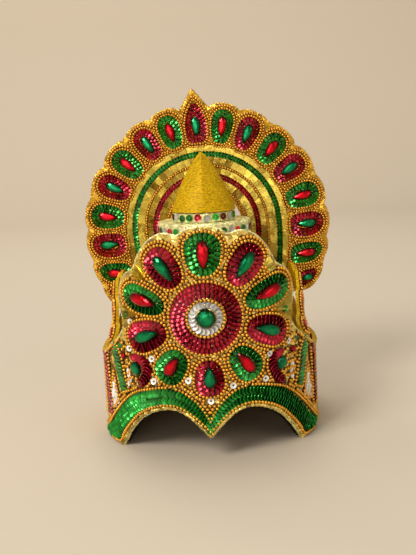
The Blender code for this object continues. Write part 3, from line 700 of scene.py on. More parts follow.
def bead_pattern():
    """A pressed bead one unit wide: round, and drawn in where the thread goes through."""
    deselect()
    bpy.ops.mesh.primitive_uv_sphere_add(segments=8, ring_count=6, radius=0.5)
    bead = bpy.context.object
    edit("DESELECT")
    bpy.ops.object.mode_set(mode="OBJECT")
    for vertex in bead.data.vertices:
        vertex.select = abs(vertex.co.z) > 0.49
    bpy.ops.object.mode_set(mode="EDIT")
    scale_by(1, 1, 0.8)
    bpy.ops.mesh.select_all(action="SELECT")
    scale_by(1, 1, 0.94)
    bpy.ops.transform.rotate(value=math.pi / 2, orient_axis="Y", center_override=(0, 0, 0))
    bpy.ops.object.mode_set(mode="OBJECT")
    return pattern_of(bead)


def pad_pattern():
    """The low bed of thread that holds a bead, one unit wide; its dark colour is also painted shade between
    the beads.
    """
    deselect()
    bpy.ops.mesh.primitive_circle_add(vertices=6, radius=0.5, fill_type="NGON")
    pad = bpy.context.object
    edit()
    pull_faces(0.15)
    scale_by(0.78, 0.78)
    close_up()
    return pattern_of(pad)


def sequin_pattern(sides=10, narrow=1.0, cup=0.08, hole=0.08):
    """A cupped sequin one unit wide with its thread hole, cut from thin film."""
    deselect()
    bpy.ops.mesh.primitive_circle_add(vertices=sides, radius=0.5)
    sequin = bpy.context.object
    edit()
    pull_edges(-cup * 0.8)
    scale_by(0.62, 0.62)
    pull_edges(-cup * 0.2)
    scale_by(hole / 0.31, hole / 0.31)
    bpy.ops.mesh.select_all(action="SELECT")
    scale_by(1, narrow)
    close_up()
    if sequin.data.polygons[0].normal.z < 0:
        sequin.data.flip_normals()
    give_wall(sequin, 0.03)
    apply_modifiers(sequin)
    return pattern_of(sequin)


# Sewing.


def spots_on(path, pitch, closed, height, tip=0.0, size=1.0):
    """Evenly spaced places on a line: u, v, height, heading, tip, size."""
    line = even(path, pitch, closed)
    rest = np.tile([tip, size], (len(line), 1))
    return np.column_stack([line, np.full(len(line), height), headings(line, closed), rest])


def turned(a, b, angle):
    """Two coordinates of each copy turned by its own angle."""
    c, s = np.cos(angle)[:, None], np.sin(angle)[:, None]
    return a * c - b * s, a * s + b * c


def set_out(name, pattern, spots, place, seed, finish, loose, painted_overlap_shade=0.0, degrees=35, slot="gold_foil_card"):
    """One piece with a copy of the pattern at each spot; loose is the hand's unevenness in turn and tip.

    By its share of painted overlap shade each copy gets painted light at its raised end and painted shade
    where the next one lies on it.
    """
    shape, faces = pattern
    u, v, h, heading, tip, size = np.asarray(spots, float).T
    chance = np.random.RandomState(seed)
    heading = heading + chance.uniform(-1, 1, len(u)) * loose[0]
    tip = tip + chance.uniform(-1, 1, len(u)) * loose[1]
    lean = chance.uniform(-1, 1, len(u)) * loose[1] * 0.7
    origin = place(u, v, h)
    along = unit(place(u + NUDGE, v, h) - place(u - NUDGE, v, h))
    out = unit(place(u, v, h + NUDGE) - origin)
    up = np.cross(out, along)
    along = np.cross(up, out)
    a, b, c = (shape[:, k][None, :] * size[:, None] for k in range(3))
    a, c = turned(a, c, -tip)
    b, c = turned(b, c, lean)
    a, b = turned(a, b, heading)
    points = origin[:, None, :] + a[..., None] * along[:, None, :]
    points = points + b[..., None] * up[:, None, :] + c[..., None] * out[:, None, :]
    every = [tuple(i + k * len(shape) for i in face) for k in range(len(u)) for face in faces]
    obj = make_object(name, points.reshape(-1, 3), every)
    # Each copy's random tone, then painted shade where the next copy lies on it and painted light at its
    # raised end.
    own = chance.uniform(0, 1, len(u))[:, None] * (1 - painted_overlap_shade)
    mark(obj, "shade", own + painted_overlap_shade * np.clip(-2.2 * shape[:, 0], 0, 1))
    if degrees:
        smooth(obj, degrees)
    dress(obj, finish, slot)


def pads_for_shade_and_thread(name, spots, place, seed, width):
    """Dark pads under each bead, thread and painted shade between the beads, so that the rows stand apart
    from the foil.
    """
    spots = np.array(spots)
    spots[:, 2] = 0.05 * MM
    spots[:, 4] = 0.0
    spots[:, 5] = width
    set_out("thread_" + name, pad_pattern(), spots, place, seed, "brown_thread", (0.5, 0.0), degrees=0)


class Beadwork:
    """Bead rows sewn one after another; a bead without room is left out."""

    def __init__(self, size, pitch, height=None):
        self.size = size
        self.pitch = pitch
        self.height = size * 0.55 if height is None else height
        self.spots = []

    def sew(self, path, closed=True, keep=None, room=0.86):
        line = spots_on(path, self.pitch, closed, self.height, size=self.size)
        if keep is not None:
            line = line[keep(line[:, :2])]
        if self.spots:
            old = np.array(self.spots)[:, :2]
            line = [s for s in line if np.min(np.linalg.norm(old - s[:2], axis=1)) >= self.size * room]
        self.spots += list(line)

    def thin(self, centre, radius):
        """Takes out the beads where something else is sewn on."""
        self.spots = [s for s in self.spots if math.dist(s[:2], centre) > radius]

    def finish(self, name, place, seed, bed_seed, bed):
        bead = bead_pattern()
        set_out("beads_" + name, bead, self.spots, place, seed, "gilt_beads", (0.2, 0.25), degrees=60)
        pads_for_shade_and_thread(name, self.spots, place, bed_seed, bed)


# Materials.


def add_node(tree, kind, inputs=None, **settings):
    """One node with its settings; an input is a value or the socket that feeds it."""
    made = tree.nodes.new("ShaderNode" + kind)
    for key, value in settings.items():
        setattr(made, key, value)
    for key, value in (inputs or {}).items():
        if isinstance(value, bpy.types.NodeSocket):
            tree.links.new(value, made.inputs[key])
        else:
            made.inputs[key].default_value = value
    return made


def start_material(name, **sockets):
    """A Principled material with its constants set on its own sockets."""
    material = bpy.data.materials.new(name)
    material.use_nodes = True
    tree = material.node_tree
    shader = tree.nodes["Principled BSDF"]
    for key, value in sockets.items():
        shader.inputs[key.replace("_", " ")].default_value = value
    return material, tree, shader


def tint(key, factor=1.0):
    """A colour from the sidebar, lighter or darker by the factor."""
    return (*(min(1.0, c * factor) for c in getattr(bpy.context.scene.crown_colours, key)), 1.0)


def foil_material(name, pale, deep, cell, depth, metallic):
    """Gold metallised film crushed by hand: flat facets, bumped, each painted with its own tone between
    painted shade and painted light.
    """
    material, tree, shader = start_material(name, Metallic=metallic, Roughness=0.26)
    place = add_node(tree, "TexCoord").outputs["Object"]
    warp = add_node(tree, "TexNoise", {"Vector": place, "Scale": 170.0, "Detail": 2.0})
    moved = {0: warp.outputs["Color"], 1: (4 * MM, 4 * MM, 4 * MM), 2: place}
    shifted = add_node(tree, "VectorMath", moved, operation="MULTIPLY_ADD").outputs["Vector"]
    facets = add_node(tree, "TexVoronoi", {"Vector": shifted, "Scale": 1 / cell})
    local = add_node(tree, "VectorMath", {0: shifted, 1: facets.outputs["Position"]}, operation="SUBTRACT")
    leaning = {0: facets.outputs["Color"], 1: (0.5, 0.5, 0.5)}
    slope = add_node(tree, "VectorMath", leaning, operation="SUBTRACT")
    both = {0: local.outputs["Vector"], 1: slope.outputs["Vector"]}
    height = add_node(tree, "VectorMath", both, operation="DOT_PRODUCT")
    # Painted light and shade: each facet's random colour picks its tone between deep and pale.
    share = {0: facets.outputs["Color"], 1: 2.0, 2: -0.45}
    chosen = add_node(tree, "Math", share, operation="MULTIPLY_ADD", use_clamp=True)
    if name == "halo_ribbon":
        # Each fold has its own tone between painted shade and painted light, and the facets only stir it.
        shade = add_node(tree, "Attribute", attribute_name="shade")
        part = add_node(tree, "Math", {0: chosen.outputs["Value"], 1: 0.16}, operation="MULTIPLY")
        share = {0: shade.outputs["Fac"], 1: 0.8, 2: part.outputs["Value"]}
        chosen = add_node(tree, "Math", share, operation="MULTIPLY_ADD", use_clamp=True)
    tone = add_node(tree, "Mix", {"Factor": chosen.outputs["Value"], "A": deep, "B": pale}, data_type="RGBA")
    tree.links.new(tone.outputs["Result"], shader.inputs["Base Color"])
    first = add_node(tree, "Bump", {"Strength": 1.0, "Distance": depth, "Height": height.outputs["Value"]})
    fine = add_node(tree, "TexNoise", {"Vector": place, "Scale": 800.0, "Detail": 2.0}).outputs["Fac"]
    over = {"Strength": 0.3, "Distance": 0.3 * MM, "Height": fine, "Normal": first.outputs["Normal"]}
    tree.links.new(add_node(tree, "Bump", over).outputs["Normal"], shader.inputs["Normal"])
    return material


def shaded_material(name, dark, light, **sockets):
    """Many small copies of one thing, each a little lighter or darker than the next; on sequins the dark and
    light tones are also painted shade and painted light.
    """
    material, tree, shader = start_material(name, **sockets)
    shade = add_node(tree, "Attribute", attribute_name="shade")
    tone = add_node(tree, "Mix", {"Factor": shade.outputs["Fac"], "A": dark, "B": light}, data_type="RGBA")
    tree.links.new(tone.outputs["Result"], shader.inputs["Base Color"])
    return material


def stone_material(name, key):
    """Cast acrylic stone with a foil back: painted shade at the girdle, painted glow under the table, glossy
    on top.
    """
    material, tree, shader = start_material(
        name, Metallic=0.85, Roughness=0.2, Specular_IOR_Level=0.1, Coat_Weight=0.3, Coat_Roughness=0.03
    )
    place = add_node(tree, "TexCoord").outputs["Object"]
    flow = add_node(tree, "TexNoise", {"Vector": place, "Scale": 260.0, "Detail": 1.0})
    core = add_node(tree, "Attribute", attribute_name="core")
    painted_glow = add_node(tree, "Math", {0: core.outputs["Fac"], 1: flow.outputs["Fac"]}, operation="MULTIPLY")
    share = {0: painted_glow.outputs["Value"], 1: 1.9, 2: 0.0}
    chosen = add_node(tree, "Math", share, operation="MULTIPLY_ADD", use_clamp=True)
    tones = {"Factor": chosen.outputs["Value"], "A": tint(key, 0.1), "B": tint(key)}
    tone = add_node(tree, "Mix", tones, data_type="RGBA")
    tree.links.new(tone.outputs["Result"], shader.inputs["Base Color"])
    return material


def zari_material(name, pale, deep):
    """Zari cloth, flat gilt thread over a yellow core: fine broken ribs with a soft metallic sheen."""
    material, tree, shader = start_material(name, Metallic=0.15, Roughness=0.55, Specular_IOR_Level=0.15)
    place = add_node(tree, "TexCoord").outputs["Object"]
    # Ribs 0.7 mm apart, coarser than the real thread so that they show.
    ribs = add_node(tree, "Mapping", {"Vector": place, "Scale": (420.0, 420.0, 1350.0)}).outputs["Vector"]
    dashes = add_node(tree, "TexNoise", {"Vector": ribs, "Scale": 1.0, "Detail": 2.0}).outputs["Fac"]
    broad = add_node(tree, "TexNoise", {"Vector": place, "Scale": 60.0, "Detail": 2.0})
    mix = add_node(tree, "Math", {0: dashes, 1: 2.4, 2: -0.75}, operation="MULTIPLY_ADD", use_clamp=True)
    tone = add_node(tree, "Mix", {"Factor": mix.outputs["Value"], "A": deep, "B": pale}, data_type="RGBA")
    wear = {"Factor": 0.2, "A": tone.outputs["Result"], "B": broad.outputs["Fac"]}
    worn = add_node(tree, "Mix", wear, data_type="RGBA", blend_type="MULTIPLY")
    tree.links.new(worn.outputs["Result"], shader.inputs["Base Color"])
    bump = add_node(tree, "Bump", {"Strength": 0.55, "Distance": 0.35 * MM, "Height": dashes})
    tree.links.new(bump.outputs["Normal"], shader.inputs["Normal"])
    return material


def cotton_material(name):
    """Black cotton lining: matt, with a faint nap."""
    material, tree, shader = start_material(name, Roughness=0.95, Specular_IOR_Level=0.15)
    place = add_node(tree, "TexCoord").outputs["Object"]
    nap = add_node(tree, "TexNoise", {"Vector": place, "Scale": 1400.0, "Detail": 3.0}).outputs["Fac"]
    tones = {"Factor": nap, "A": linear(HEXES["lining"]), "B": linear(HEXES["lining_nap"])}
    tone = add_node(tree, "Mix", tones, data_type="RGBA")
    tree.links.new(tone.outputs["Result"], shader.inputs["Base Color"])
    bump = add_node(tree, "Bump", {"Strength": 0.4, "Distance": 0.3 * MM, "Height": nap})
    tree.links.new(bump.outputs["Normal"], shader.inputs["Normal"])
    return material


def plain_material(name, key):
    """Wound thread that is also painted shade between beads, or matt paint: rough, in one tone."""
    material, _, shader = start_material(name, Roughness=0.85)
    shader.inputs["Base Color"].default_value = linear(HEXES[key])
    return material


def finish_for(name):
    """Each finish is made once and shared by the pieces that have it."""
    made = bpy.data.materials.get(name)
    if made:
        return made
    if name in FOILS:
        pale, deep, cell, depth, metal = FOILS[name]
        return foil_material(name, tint(*pale), tint(*deep), cell * MM, depth, metal)
    if name in SEQUINS:
        # Dyed polyester film, metallised on the back: bright, with a clear face.
        key, dark, light, metal = SEQUINS[name]
        gloss = {"Metallic": metal, "Roughness": 0.25, "Coat_Weight": 0.3, "Coat_Roughness": 0.1}
        return shaded_material(name, tint(key, dark), tint(key, light), **gloss)
    if name == "gilt_beads":
        # Lacquered glass beads: gold with a soft gleam, some darker than others.
        return shaded_material(name, tint("bead", 0.7), tint("bead", 1.1), Metallic=0.6, Roughness=0.27)
    if name == "brown_thread":
        return plain_material(name, "thread")
    if name == "zari_cloth":
        return zari_material(name, tint("zari", 0.96), tint("zari", 0.38))
    if name == "black_cotton":
        return cotton_material(name)
    if name.endswith("_acrylic"):
        return stone_material(name, name.replace("acrylic", "stone"))
    raise KeyError(name)


# Settings in the sidebar.


def colour_setting(label, about, key):
    return bpy.props.FloatVectorProperty(
        name=label, description=about, subtype="COLOR", default=linear(HEXES[key])[:3], min=0.0, max=1.0
    )


class CrownColours(bpy.types.PropertyGroup):
    """Colours of the trimmings."""

    foil: colour_setting("Foil", "Gold film on the panel", "foil")
    deep_foil: colour_setting("Halo foil", "Gold film on the halo", "deep_foil")
    ribbon: colour_setting("Ribbons", "Folded film on the halo", "ribbon")
    pale_foil: colour_setting("Pale foil", "Gold film on the tiers and the edges", "pale_foil")
    bead: colour_setting("Beads", "Gilt beads", "bead")
    crimson: colour_setting("Crimson sequins", "Sequins of the disc and every second petal", "crimson")
    leaf_green: colour_setting("Green sequins", "Sequins of the band and the other petals", "leaf_green")
    silver: colour_setting("White sequins", "Sequins round the centre stone and single ones", "silver")
    red_stone: colour_setting("Red stones", "Stones in the green petals", "red_stone")
    green_stone: colour_setting("Green stones", "Stones in the crimson petals", "green_stone")
    zari: colour_setting("Zari cloth", "Cloth of the dome, the cone and the back", "zari")


def length_setting(label, about, size):
    return bpy.props.FloatProperty(name=label, description=about, default=size * MM, unit="LENGTH")


class CrownSizes(bpy.types.PropertyGroup):
    """Sizes of the trimmings."""

    bead: length_setting("Bead", "Width of the panel's beads", 2.55)
    halo_bead: length_setting("Halo bead", "Width of the halo's beads", 2.25)
    sequin: length_setting("Sequin", "Width of the rosette's sequins", 5.6)
    band_sequin: length_setting("Band sequin", "Width of the sequins on the lower band", 6.7)
    halo_sequin: length_setting("Halo sequin", "Width of the halo's sequins", 4.9)
    crinkle: length_setting("Crinkle", "Depth of the creases in the foil", 0.22)
    tip: bpy.props.FloatProperty(
        name="Tip",
        description="How steeply each sequin leans on the next",
        default=math.radians(22),
        unit="ROTATION",
    )


def sizes():
    return bpy.context.scene.crown_sizes


# Cards and cloth.


def sunk(points, flat):
    """The CAD's raised rows pressed almost level with the card."""
    offset = flat(points)[:, 2]
    out = np.zeros_like(points)
    if flat is halo_flat:
        out[:, 1] = -1
    else:
        out[:, 0] = points[:, 0] / HEAD_HALF_WIDTH**2
        out[:, 1] = points[:, 1] / HEAD_HALF_DEPTH**2
        out = unit(out)
    return points - out * (np.maximum(offset, 0) * 0.9)[:, None]


class CROWN_OT_foil_cards(bpy.types.Operator):
    """Covers the panel, the halo and the two foil tiers with creased film, and the wings with creased zari
    cloth
    """

    bl_idname = "crown.foil_cards"
    bl_label = "Foil cards"

    def execute(self, context):
        for node, cuts, flat, finish, slot in (
            ("face_panel", 3, Wall.flat, "foil_card", "gold_foil_card"),
            ("halo", 2, halo_flat, "halo_card", "gold_foil_card"),
            ("wing_left", 3, None, "zari_cloth", "gold_foil_card"),
            ("wing_right", 3, None, "zari_cloth", "gold_foil_card"),
            # The drum and the collar take the pale film, which is partly painted light on the front-lit
            # tiers.
            ("drum", 5, None, "pale_foil", "gold_foil"),
            ("collar", 5, None, "pale_foil", "gold_foil"),
        ):
            obj = card_copy(node, "foil_" + node, cuts)
            points = points_of(obj)
            size = 6 * MM
            if flat:
                points = sunk(points, flat)
                set_points(obj, points)
                size = 4.5 * MM
            depth = wrinkles(points, size, 1.0) + 0.5 * wrinkles(points, size * 0.45, 2.0)
            crease(obj, points, depth * sizes().crinkle)
            smooth(obj, 50)
            dress(obj, finish, slot, node)
        return {"FINISHED"}


def lathe(name, rows, segments):
    """A shell drawn up from a ring: rows of (half width, half depth, height)."""
    deselect()
    bpy.ops.mesh.primitive_circle_add(vertices=segments, radius=1.0, location=(0, 0, rows[0][2]))
    obj = bpy.context.object
    obj.name = name
    edit()
    scale_by(rows[0][0], rows[0][1])
    for (w0, d0, z0), (w1, d1, z1) in zip(rows, rows[1:]):
        pull_edges(z1 - z0)
        scale_by(w1 / w0, d1 / d0)
    bpy.ops.mesh.edge_face_add()
    bpy.ops.object.mode_set(mode="OBJECT")
    bpy.ops.object.transform_apply(location=True, rotation=True, scale=True)
    deselect()
    return obj


def finish_shell(obj, node):
    apply_modifiers(obj)
    smooth(obj, 50)
    dress(obj, "zari_cloth", "gold_cloth", node)


class CROWN_OT_cloth(bpy.types.Operator):
    """Makes the cloth dome, the folded cone, the back band and the black lining"""

    bl_idname = "crown.cloth"
    bl_label = "Cloth pieces"

    def execute(self, context):
        self.dome()
        self.cone()
        for node, cuts, squeeze, size, seed, depth, finish, slot in (
            ("back_band", 5, 0.45, 7, 9.0, 0.35, "zari_cloth", "gold_cloth"),
            ("lining", 3, 1.0, 8, 11.0, 0.14, "black_cotton", "black_cloth"),
        ):
            obj = card_copy(node, "cloth_" + node, cuts)
            points = points_of(obj)
            crease(obj, points, wrinkles(points * np.array([1, 1, squeeze]), size * MM, seed) * depth * MM)
            smooth(obj, 50)
            dress(obj, finish, slot, node)
        return {"FINISHED"}

    def dome(self):
        """Cloth drawn over the shell, with soft folds that run up from the ring."""
        shares = np.linspace(0, 1, 25)
        widths = np.interp(shares, *zip(*DOME_PROFILE))
        rise = DOME_TOP - DOME_FOOT
        rows = [(DOME_HALF[0] * w, DOME_HALF[1] * w, DOME_FOOT + rise * s) for s, w in zip(shares, widths)]
        obj = lathe("cloth_dome", rows, 144)
        points = points_of(obj)
        turn = np.arctan2(points[:, 1], points[:, 0])
        height = (points[:, 2] - DOME_FOOT) / rise
        folds = wrinkles(np.column_stack([np.cos(turn) * 9, np.sin(turn) * 9, height * 1.2]), 1.0, 4.0)
        fine = wrinkles(points, 14 * MM, 5.0)
        depth = (folds * 1.5 * MM + fine * 0.5 * MM) * np.clip(1.15 - height, 0, 1)
        depth = np.where(height > 0.97, 0, depth - 0.5 * MM)
        out = np.column_stack([np.cos(turn), np.sin(turn), 0 * turn])
        set_points(obj, points + out * depth[:, None])
        give_wall(obj, 1.6 * MM)
        finish_shell(obj, "dome")

    def cone(self):
        """Zari cloth folded to a point, with a soft crease towards the front."""
        radius, low, top = CONE
        shares = np.concatenate([np.linspace(0, 0.92, 24), [0.96, 0.985]])
        profile = np.array(CONE_PROFILE)
        widths = np.interp(shares, profile[:, 0], profile[:, 1])
        rows = [(radius * w, radius * w, low + (top - low) * s) for s, w in zip(shares, widths)]
        obj = lathe("cloth_cone", rows, 96)
        points = points_of(obj)
        turn = np.arctan2(points[:, 1], points[:, 0])
        share = (points[:, 2] - low) / (top - low)
        square = np.interp(share, profile[:, 0], profile[:, 2])
        corner = 1 / (np.abs(np.cos(turn)) + np.abs(np.sin(turn)))
        points[:, :2] *= (1 - square + square * corner * 1.12)[:, None]
        dents = wrinkles(points, 11 * MM, 7.0) * 0.5 * MM + wrinkles(points, 3 * MM, 8.0) * 0.15 * MM
        out = np.column_stack([np.cos(turn), np.sin(turn), 0 * turn])
        set_points(obj, points + out * (dents * np.clip(1.1 - share, 0, 1))[:, None])
        give_wall(obj, 1.2 * MM).use_even_offset = True
        finish_shell(obj, "cone_cap")


def rolled_edge(name, path, place, seed, finish, radius=0.85, height=-0.8, pleat=2.4, closed=True):
    """A crinkled roll of film along a card's edge: its radius, height and pleats in mm."""
    spacing, sides = 0.9 * MM, 8
    line = even(path, spacing, closed)
    count = len(line)
    centre = place(line[:, 0], line[:, 1], np.full(count, height * MM))
    if closed:
        ahead = np.roll(centre, -1, axis=0) - np.roll(centre, 1, axis=0)
    else:
        ahead = np.gradient(centre, axis=0)
    out = unit(place(line[:, 0], line[:, 1], np.full(count, height * MM + MM)) - centre)
    side = unit(np.cross(unit(ahead), out))
    rings = []
    for k in range(sides):
        turn = 2 * math.pi * k / sides
        wave = 1 + 0.3 * np.sin(np.arange(count) * spacing / (pleat * MM) * 2 * math.pi + turn)
        reach = radius * MM * (wave + 0.35 * wrinkles(centre + turn * MM, 2.2 * MM, seed))
        lift, shift = reach * math.cos(turn), reach * math.sin(turn)
        rings.append(centre + out * lift[:, None] + side * shift[:, None])
    points = np.stack(rings, axis=1).reshape(-1, 3)
    # Pressed flat where the crown stands on it.
    points[:, 2] = np.maximum(points[:, 2], 0.0)
    faces = []
    for i in range(count if closed else count - 1):
        n = (i + 1) % count
        for k in range(sides):
            m = (k + 1) % sides
            faces.append((i * sides + k, i * sides + m, n * sides + m, n * sides + k))
    if not closed:
        faces.append(tuple(reversed(range(sides))))
        faces.append(tuple(range((count - 1) * sides, count * sides)))
    obj = make_object(name, points, faces)
    face_outwards(obj)
    smooth(obj, 55)
    dress(obj, finish, "gold_foil_card")


def card_fan(index, share, out):
    """A flat point in one of the notches: share runs round and out runs outwards."""
    angle, narrow, wide, inner, outer = FANS[index]
    spread = narrow + (wide - narrow) * out
    return rosette_point(angle + (share - 0.5) * spread, (inner + (outer - inner) * out) * MM, 0.0)


class CROWN_OT_panel_edges(bpy.types.Operator):
    """Rolls crinkled film round the edges, and stuffs folded film into the notches"""

    bl_idname = "crown.edges"
    bl_label = "Rolled edges"

    def execute(self, context):
        rolled_edge("edge_roll_panel", front_rim("face_panel", Wall.flat), Wall.place, 21.0, "pale_foil")
        rolled_edge("edge_roll_halo", front_rim("halo", halo_flat), halo_place, 22.0, "halo_card")
        arch = beside(both_sides(smooth_line(BOTTOM_EDGE)), 0.9 * MM, False)
        rolled_edge("arch_piping", arch, Wall.place, 23.0, "foil_card", 1.35, 0.1, 3.4, closed=False)
        for index in range(len(FANS)):
            name = f"folded_foil_{index + 1}"
            pleats(name, partial(card_fan, index), 0.0, 1.0, 0.21, Wall.place, 90 + index, 1.3)
        return {"FINISHED"}


# The panel's beads and sequins.


def band_lines():
    """The band's lower and upper bead rows, left to right."""
    low = beside(both_sides(smooth_line(BOTTOM_EDGE)), 3.3 * MM, False)
    low = low[np.abs(low[:, 0]) < 80.5 * MM]
    tail = smooth_line(LOW_TAIL)
    low = np.vstack([(tail * [-1, 1])[::-1], low, tail])
    return low, both_sides(smooth_line(BAND_ROW))


def share_line(low, high, share, count=260):
    """A line that runs between two others."""
    return even(low, ROW_STEP, False, count) * (1 - share) + even(high, ROW_STEP, False, count) * share


def strip_line(side, step=ROW_STEP):
    """The middle of a green strip."""
    return side_line(np.array(STRIP_MIDDLE) + STRIP_SHIFT[side], side, step)


def strip_border(side):
    """The bead line round a green strip: pointed above and blunt at the band."""
    middle = strip_line(side, 1.0 * MM)
    reach = 5.7 * MM * np.minimum(1.0, np.linspace(0.03, 3.3, len(middle))) ** 0.6
    turn = headings(middle, False)
    across = reach[:, None] * np.stack([-np.sin(turn), np.cos(turn)], axis=1)
    return even(np.vstack([middle + across, (middle - across)[::-1]]), FINE, True)


def inside(outline, margin):
    """A test of flat points: on the card, and further than the margin from its edge."""

    def keep(points):
        return within(points, outline) & (distances(points, outline) > margin)

    return keep


class CROWN_OT_panel_beads(bpy.types.Operator):
    """Sews the bead rows on the front panel"""

    bl_idname = "crown.panel_beads"
    bl_label = "Panel beads"

    def execute(self, context):
        on_card = inside(front_rim("face_panel", Wall.flat), 1.6 * MM)
        low, high = band_lines()
        petals = [rosette_petal(i) for i in range(len(ROSETTE_PETALS))]
        crescents = [smooth_line(CRESCENTS[side], 1.2 * MM) for side in (-1, 1)]
        stripes = [side_line(SIDE_STRIPE[side], side) for side in (-1, 1)]
        strips = [strip_border(side) for side in (-1, 1)]

        def above_band(points, margin=0.0):
            return points[:, 1] > np.interp(points[:, 0], high[:, 0], high[:, 1]) - margin

        def clear(points):
            """On the card above the band, off the petals, crescents, stripes, strips and folded foil."""
            keep = on_card(points) & (np.linalg.norm(points - ROSETTE, axis=1) > ROSETTE_RING)
            for path in petals + strips:
                keep &= ~within(points, path)
            for paths, room in ((crescents, CRESCENT_ROOM), (stripes, STRIPE_ROOM)):
                for path in paths:
                    keep &= distances(points, path, False) > room
            turn = np.degrees(np.arctan2(points[:, 0] - ROSETTE[0], points[:, 1] - ROSETTE[1]))
            reach = np.linalg.norm(points - ROSETTE, axis=1) / MM
            for angle, _, wide, inner, _ in FANS:
                keep &= (np.abs(turn - angle) > wide * 0.45) | (reach < inner + 3)
            return keep & above_band(points, 0.4 * MM)

        def beside_both(path, distance):
            return beside(path, distance, False), beside(path, -distance, False)

        rosette = Beadwork(sizes().bead, PANEL_STEP)
        rosette.sew(ring_line(ROSETTE, ROSETTE_RING))
        rosette.sew(ring_line(ROSETTE, CENTRE_RING))
        for petal in petals:
            rosette.sew(petal, keep=on_card, room=0.8)
        field = Beadwork(sizes().bead, PANEL_STEP)
        field.spots = list(rosette.spots)
        field.sew(low, False)
        field.sew(high, False)
        for side, strip, crescent, stripe in zip((-1, 1), strips, crescents, stripes):
            field.sew(strip, True, above_band)
            for row in reversed(beside_both(stripe, STRIPE_ROW)):
                field.sew(row, False, clear)
            field.sew((np.array(LEAF_ROW) - [LEFT_SHIFT * (side < 0), 0]) * MM * [side, 1], True, clear)
            for rows in (SIDE_ROW, SHOULDER_ROW):
                field.sew(side_line(rows, side), False, clear)
            there, back = beside_both(crescent, CRESCENT_ROW)
            field.sew(np.vstack([there, back[::-1]]), True, clear)
        for petal in petals:
            field.sew(inset_line(petal, -2.66 * MM), True, clear)
        field.sew(beside(high, 2.7 * MM, False), False, clear)
        # The bare foil that is left is filled with level rows.
        for v in np.arange(*FILL_ROWS) * MM:
            row = np.array([(-FILL_HALF, v), (FILL_HALF, v + 2 * MM)])
            field.sew(row, False, lambda points: clear(points) & (np.abs(points[:, 0]) < FILL_HALF), 1.0)
        for u, v in WHITE_SPOTS + GREEN_SPOTS:
            field.thin((u * MM, v * MM), 3.1 * MM)
        for (u, v), room in ((CORNER_STONE, 6.0 * MM), (SIDE_STONE, 3.9 * MM)):
            for side in (-1, 1):
                field.thin((side * u * MM, v * MM), room)
        own = {id(spot) for spot in rosette.spots}
        field.spots = [spot for spot in field.spots if id(spot) not in own]
        rosette.finish("rosette", Wall.place, 31, 35, PANEL_BED)
        field.finish("panel", Wall.place, 32, 36, PANEL_BED)
        return {"FINISHED"}


def tapered(path, height, tip, shares, widths):
    """Spots of a sequin row whose width changes along it: shares of the way and widths in mm."""
    spots = spots_on(path, 2.7 * MM, False, height, tip)
    spots[:, 5] = np.interp(np.linspace(0, 1, len(spots)), shares, np.array(widths) * MM)
    return spots


def single_spots(places):
    """Sequins sewn on one by one, each turned its own way."""
    return [(u * MM, v * MM, 1.5 * MM, 0.7 * i, 0.18, 4.9 * MM) for i, (u, v) in enumerate(places)]


